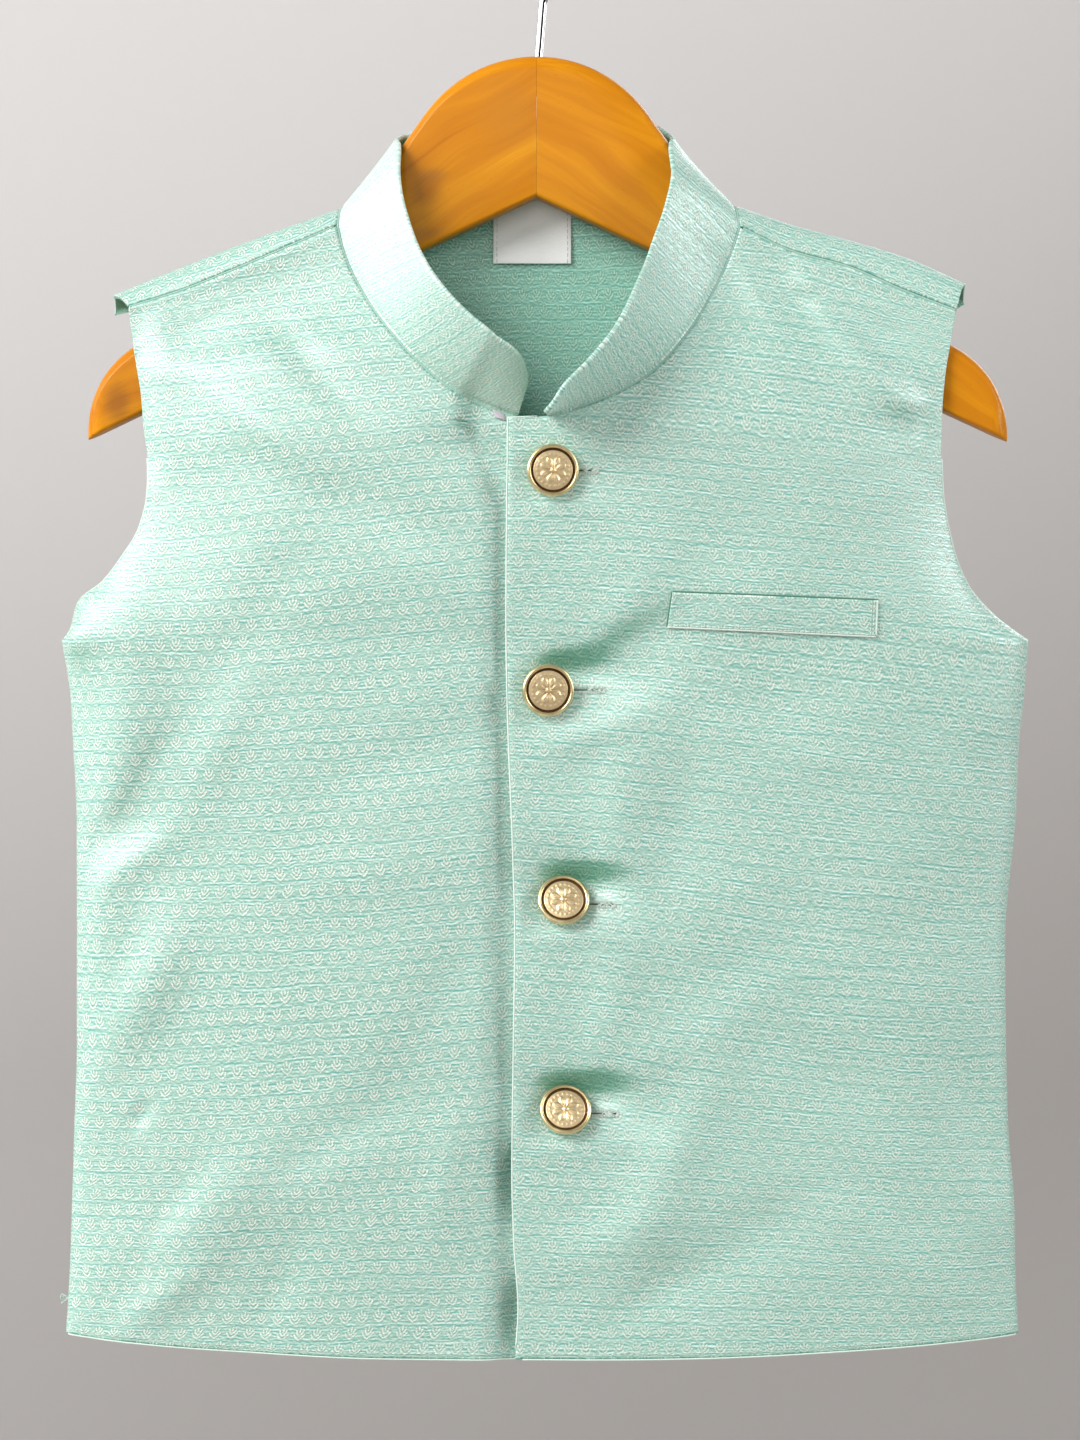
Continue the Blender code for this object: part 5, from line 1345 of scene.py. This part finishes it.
def make_button(number, row):
    """A turned metal button with a raised rim, a dark groove and a pressed face."""
    point, out = cloth_at(FRONTS[LEFT], row.x, row.z)
    across = pointing(np.cross((0.0, 0.0, 1.0), -out), 0)
    up = pointing(np.cross(across, -out), 2)
    tilt_up, tilt_right = math.radians(row.tilt_up), math.radians(row.tilt_right)
    facing = unit(out + up * math.tan(tilt_up) + across * math.tan(tilt_right))
    right = unit(across - facing * np.dot(across, facing))
    shank = (point, across, up, out, 0.0)
    tilted = (point + BUTTON_HINGE * out, right, pointing(np.cross(facing, right), 2), facing,
              BUTTON_HINGE)
    turns = circle(BUTTON_TURNS)
    profile = [(ring.radius, ring.height, 0.0 * turns) for ring in BUTTON_RINGS]
    for radius in np.arange(FACE_RADIUS - 0.3, 0.1, -0.22 * FINE):
        crown = FACE_CROWN * (1.0 - (radius / FACE_RADIUS) ** 2)
        profile.append((radius, FACE_HEIGHT + crown, rosette(radius, turns)))
    rings = []
    for radius, height, relief in profile:
        middle, one, two, way, base = shank if height < BUTTON_HINGE else tilted
        ring = middle + radius * (np.cos(turns)[:, None] * one + np.sin(turns)[:, None] * two)
        rings.append(ring + (height - base + relief)[:, None] * way)
    verts, faces = ring_mesh(rings)
    strip = np.repeat(np.arange(len(rings) - 1), BUTTON_TURNS)
    metal = np.where(strip >= FACE_START, 2, np.where(strip >= GROOVE_START, 1, 0))
    metal = np.concatenate([metal, np.repeat((0, 2), BUTTON_TURNS)])
    made = finish_object(f"coat_button_{number}", verts, faces, METAL, sharp=70.0, slots=metal)
    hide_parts(f"button_{number}")


def make_buttonhole(number, row):
    """A worked hole: close stitches round a slit of painted shade, with a few frayed ends."""
    rng = np.random.default_rng(number + 20)
    end = HOLE_ENDS[number - 1]

    def laid(x, z, lift):
        """A thread over the left front, from its places beside the button's middle."""
        at, normal = on_cloth(FRONTS[LEFT], row.x + x, row.z + z)
        return at + normal * np.reshape(lift, (-1, 1))

    paths = []
    for x in np.arange(HOLE_START, end - 0.4, HOLE_PITCH):
        for side in (-1.0, 1.0):
            across = side * np.array(HOLE_SIDE[0])
            paths.append(laid(x + rng.uniform(-0.12, 0.12), across, HOLE_SIDE[1]))
    reach = np.array(HOLE_END[0])
    for angle in np.linspace(-1.3, 1.3, 7):
        x, z = end - HOLE_BAR + reach * math.cos(angle), reach * math.sin(angle)
        paths.append(laid(x, z, HOLE_END[1]))
    t = np.linspace(0.0, 1.0, 5)
    for _ in range(FRAYS):
        start, angle, size = rng.uniform((end - 6.0, -0.7, 1.2), (end - 0.5, 0.7, 3.4))
        z = rng.uniform(-0.5, 0.5, len(t)) * (1.0 - t) + size * t * math.sin(angle)
        lift = 0.25 + 0.5 * rng.uniform(0, 1) * t
        paths.append(laid(start + size * t * math.cos(angle), z, lift))
    many_threads(f"buttonhole_stitches_{number}", paths, HOLE_THREAD, YARN["pale"])
    # the slit is a dark thread of painted shade
    slit = laid(np.linspace(2.0, end - HOLE_BAR, 14), 0.0, -0.05)
    many_threads(f"buttonhole_slit_{number}", [slit], SLIT, YARN["dark"])


def flat_weave(outer):
    """Cloth coordinates straight across and up."""
    return outer[:, :, [0, 2, 1]] * (1.0, 1.0, 0.0)


def make_label():
    """A folded ribbon below the neck seam, sewn on down both of its sides."""
    share = np.linspace(0.0, 1.0, 21)
    (left, right), (fold, seam) = LABEL_X, LABEL_Z
    out, down = share, 1.0 - share[:, None]
    x = left + (right - left) * out
    z = fold + (seam + LABEL_ABOVE - fold) * share[:, None]
    halves = zip(*(on_cloth(BACKS[side], x, np.minimum(z, seam)) for side in (LEFT, RIGHT)))
    point, normal = (np.where(x[:, None] > 0.0, one, two) for one, two in halves)
    point = point + np.maximum(z - seam, 0.0)[:, :, None] * (0.0, 0.0, 1.0)
    belly = 0.5 * np.sin(math.pi * out) * down + 0.25 * np.sin(7.0 * out) * down**2
    room = WALL + GAP + LABEL_HALF + LABEL_LIFT * down + belly
    middle = point - room[:, :, None] * normal
    facing = grid_normals(middle)
    facing = -facing * np.sign(facing[:, :, 1:2])
    outer = middle + LABEL_HALF * facing
    sheet = (outer, facing, flat_weave(middle))
    made = cloth_piece("neck_ribbon", [sheet], RIBBON_WALL, SATIN, turn=0.7)
    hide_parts("label")
    sewn = []
    for k in (1, -2):
        sewn += stitches(outer[:, k], facing[:, k], "ribbon")
    many_threads("ribbon_stitches", sewn, THIN, YARN["pale"])


def make_lining_corner():
    """A corner of lining that shows between the band's end and the left front."""
    out = np.linspace(0.0, 1.0, 7)
    up = out[:, None]
    (x, z), (width, height) = LINING_PLACE, LINING_SIZE
    x = x + width * out - LINING_LEAN * up
    z = z + height * up + LINING_SAG * (1.0 - up) * (1.0 - out)
    point, normals = on_cloth(FRONTS[RIGHT], x, z)
    lift = LINING_LIFT + LINING_WAVE * np.sin(3.0 * out + 2.0 * up)
    outer = point + lift[:, :, None] * normals
    sheet = (outer, normals, flat_weave(outer))
    made = cloth_piece("lining_corner", [sheet], LINING_WALL, YARN["lining"], turn=0.6)


def make_loose_threads():
    """A tuft of cut thread at the foot of the right side seam."""
    rng = np.random.default_rng(41)
    foot = FRONTS[RIGHT][0][int(len(FRONT_LEVELS) * LOOSE_AT), -1]
    t = np.linspace(0.0, 1.0, 8)
    paths = []
    for _ in range(LOOSE_THREADS):
        reach, lean, curl = rng.uniform((1.4, -1.0, -1.2), (3.2, 1.0, 1.2))
        away = [0.4 - reach * np.sin(2.2 * t), curl * t, lean * 2.2 * t + curl * np.sin(3.0 * t)]
        paths.append(foot + np.stack(away, axis=1))
    many_threads("loose_threads", paths, HOLE_THREAD, YARN["pale"])


# The hanger

def fine_ring(x, low, high, half):
    """A section of the hanger at x, with rounder corners along its top than along its base."""
    ring = []
    corners = ((1, 1, ARM_ROUND), (-1, 1, ARM_ROUND), (-1, -1, ARM_EASE), (1, -1, ARM_EASE))
    for corner, (y_sign, z_sign, radius) in enumerate(corners):
        radius = min(radius, (high - low) / 2, half)
        middle_y = y_sign * (half - radius * CORNER)
        middle_z = (high if z_sign > 0 else low) - z_sign * radius * CORNER
        for angle in np.linspace(corner, corner + 1, 9) * math.pi / 2:
            ring.append((x, middle_y + radius * math.cos(angle),
                         middle_z + radius * math.sin(angle)))
    return ring


def make_hanger_half(side):
    """Half of the hanger, whose grain runs along its arm."""
    tip = UNDERSIDE[side][-1].out
    out = tip - (tip - JOINT_ROOM) * (1.0 - np.linspace(0.0, 1.0, 180 // FINE)) ** 1.5
    taper = np.clip((out - (tip - END_TAPER)) / END_TAPER, 0.0, 1.0)
    half = HANGER_THICKNESS / 2 * np.sqrt(1.0 - END_THIN * taper**2)
    x = HANGER_X + SIGN[side] * out
    sections = zip(x, hanger_base(side, out), hanger_top(side, out), half)
    verts, faces = ring_mesh([fine_ring(*section) for section in sections])
    x, y, z = verts.T
    x = np.abs(x - HANGER_X)
    cos, sin = math.cos(ARM_SLOPE), math.sin(ARM_SLOPE)
    apart = 0.0 if side == LEFT else BOARD_APART
    grain = np.stack([x * cos - z * sin, x * sin + z * cos + apart, y], axis=1)
    made = finish_object(f"wooden_arm_{side}", verts, faces, WOOD, grain, sharp=50.0)
    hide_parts(f"hanger_{side}")


def make_hook():
    """The bent wire: its stem, the bend and the hook's ring, with a rounded tip."""
    ring = HOOK_RADIUS + WIRE_RADIUS
    join = math.radians(HOOK_JOIN)
    bend_x = ring * math.cos(join) - HOOK_BEND * (1.0 - math.cos(join))
    bend_z = -HOOK_RADIUS + (ring + HOOK_BEND) * math.sin(join)
    wire = [(STEM_X, HANGER_TOP_Z - STEM_DEPTH + GAP), (STEM_X, HANGER_TOP_Z + 1.0)]
    wire += [(STEM_X + (bend_x - STEM_X) * share, HANGER_TOP_Z + (bend_z - HANGER_TOP_Z) * share)
             for share in STEM_STEPS]
    wire += [(bend_x + HOOK_BEND * (1.0 - math.cos(angle)), bend_z + HOOK_BEND * math.sin(angle))
             for angle in np.linspace(0.0, -join, 13)[:-1]]
    wire += [(ring * math.cos(angle), -HOOK_RADIUS + ring * math.sin(angle))
             for angle in np.linspace(join, math.radians(HOOK_END), 90 // FINE)]
    run = unit(np.gradient(np.array(wire), axis=0))
    tip = np.array(TIP_STEPS)[:, None]
    wire = np.concatenate([wire, wire[-1] + run[-1] * WIRE_RADIUS * tip * 0.5])
    run = np.concatenate([run, run[-1:].repeat(len(tip), axis=0)])
    size = np.full((len(wire), 1, 1), WIRE_RADIUS)
    size[-len(tip):, 0] *= np.sqrt(1.0 - (0.98 * tip) ** 2)
    middle = np.insert(wire, 1, 0.0, axis=1)
    out = np.stack([-run[:, 1], 0.0 * run[:, 0], run[:, 0]], axis=1)
    front = np.zeros_like(out) + (0.0, 1.0, 0.0)
    verts, faces = ring_mesh(rings_round(middle, out, front, size, WIRE_SIDES))
    turns = circle(WIRE_SIDES)
    # directions round the wire, which place its painted reflection
    around = np.tile(np.stack([np.cos(turns), np.sin(turns), 0.0 * turns], axis=1), (len(wire), 1))
    around = np.concatenate([around, np.zeros((2, 3))])
    made = finish_object("wire_hook", verts, faces, STEEL, around, sharp=80.0)
    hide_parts("hook")


# Everything is made here

CLOTH = (brocade("brocade"), brocade("brocade_inside", INSIDE_TINT, 1.25))
BAND_CLOTH = (brocade("brocade_band", band=True), CLOTH[1])
SATIN = satin()
WOOD = varnished_wood()
STEEL = chrome()
METAL = (
    brass("brass_rim", (0.93, 0.76, 0.42), 0.28, 0.01),
    brass("brass_groove", (0.16, 0.09, 0.04), 0.5, 0.03),
    brass("brass_face", (0.90, 0.71, 0.42), 0.42, 0.05),
)
YARN = {
    "pale": yarn("pale_yarn", (0.72, 0.80, 0.74), (0.45, 0.60, 0.52)),
    # painted shade in buttonhole slits
    "dark": yarn("buttonhole_slit_shade", (0.05, 0.12, 0.10), (0.02, 0.05, 0.04)),
    "lining": yarn("lining", (0.60, 0.52, 0.58), (0.46, 0.40, 0.46)),
    # painted shade in the welt's slit
    "slit": yarn("slit_shade", (0.10, 0.26, 0.19), (0.06, 0.17, 0.12)),
    "tuck": yarn("tucked_cloth", (0.40, 0.62, 0.54), (0.26, 0.47, 0.40)),
    # painted highlight along turned edges
    "edge": yarn("painted_edge_highlight", (0.78, 0.86, 0.80), (0.52, 0.68, 0.60)),
    "green": yarn("green_yarn", (0.16, 0.36, 0.27), (0.08, 0.22, 0.16)),
}

FRONTS = {side: front_panel(side) for side in (RIGHT, LEFT)}
BACKS = {side: back_half(side) for side in (RIGHT, LEFT)}
BAND = collar_band()

for side, panel in FRONTS.items():
    sheet = (*panel, thread_lines(THREADS[side], panel[0], side))
    piece = cloth_piece(f"{side}_front_cloth", [sheet], WALL, CLOTH)
    declare_sheet(f"{side}_front")

sheets = [(*panel, thread_lines(THREADS["back"], panel[0], side, len(BACK_LEVELS)))
          for side, panel in BACKS.items()]
piece = cloth_piece("back_cloth", sheets, WALL, CLOTH, joined_rows=NECK_ROW)
declare_sheet("back")

piece = cloth_piece("collar_cloth", [BAND], COLLAR_WALL, BAND_CLOTH)
declare_sheet("collar")

welt = welt_patch()
sheet = (*welt, thread_lines(THREADS[LEFT], welt[0], LEFT))
piece = cloth_piece("welt_cloth", [sheet], WELT_THICK, CLOTH, turn=0.8)
declare_sheet("pocket_welt")
welt_lines(*welt)

for number, row in enumerate(BUTTONS, start=1):
    make_button(number, row)
    make_buttonhole(number, row)
make_label()
make_lining_corner()
make_loose_threads()
seam_tucks()
edge_highlight_lines()
for side in (RIGHT, LEFT):
    make_hanger_half(side)
make_hook()
edge_stitches()


# The studio

def revolve(name, profile, finish, sides=96):
    """A smooth mesh turned from a profile of radii and heights, in metres."""
    turns = circle(sides)
    verts = [(r * math.cos(a), r * math.sin(a), z) for r, z in profile for a in turns]
    number = np.arange(len(verts)).reshape(-1, sides)
    beside = np.roll(number, -1, axis=1)
    faces = np.stack([number[:-1], beside[:-1], beside[1:], number[1:]], axis=-1)
    mesh = bpy.data.meshes.new(name)
    mesh.from_pydata(verts, [], faces.reshape(-1, 4).tolist())
    mesh.materials.append(finish)
    mesh.shade_smooth()
    link(name, mesh)


profile = [(0.001, FLOOR_Z), (1.0, FLOOR_Z), (WALL_RADIUS - COVE, FLOOR_Z)]
profile += [(WALL_RADIUS - COVE * (1 - math.sin(a)), FLOOR_Z + COVE * (1 - math.cos(a)))
            for a in np.linspace(0.1, math.pi / 2, 14)]
profile += [(WALL_RADIUS, 1.0), (WALL_RADIUS, WALL_TOP)]
revolve("studio_floor", profile, backdrop())

for name, (place, aim, size, watts, colour) in LIGHTS.items():
    light = bpy.data.lights.new(name, "AREA")
    light.shape = "DISK"
    light.size = size
    light.energy = watts
    light.color = colour
    made = link(name, light)
    made.location = place
    made.rotation_euler = (Vector(aim) - Vector(place)).to_track_quat("-Z", "Y").to_euler()
    made.visible_camera = False

world = bpy.data.worlds.new("studio_air")
world.use_nodes = True
world.node_tree.nodes["Background"].inputs["Color"].default_value = AIR
world.node_tree.nodes["Background"].inputs["Strength"].default_value = AIR_STRENGTH
scene = bpy.context.scene
scene.world = world

lens = bpy.data.cameras.new("camera")
lens.sensor_fit = "HORIZONTAL"
lens.sensor_width = SENSOR
lens.lens = SENSOR * VIEW_DISTANCE / VIEW_WIDTH
camera = link("camera", lens)
camera.location = (VIEW_X, -VIEW_DISTANCE, VIEW_Z)
camera.rotation_euler = (math.pi / 2, 0.0, 0.0)
scene.camera = camera
scene.view_settings.view_transform = "Standard"
scene.view_settings.look = "None"
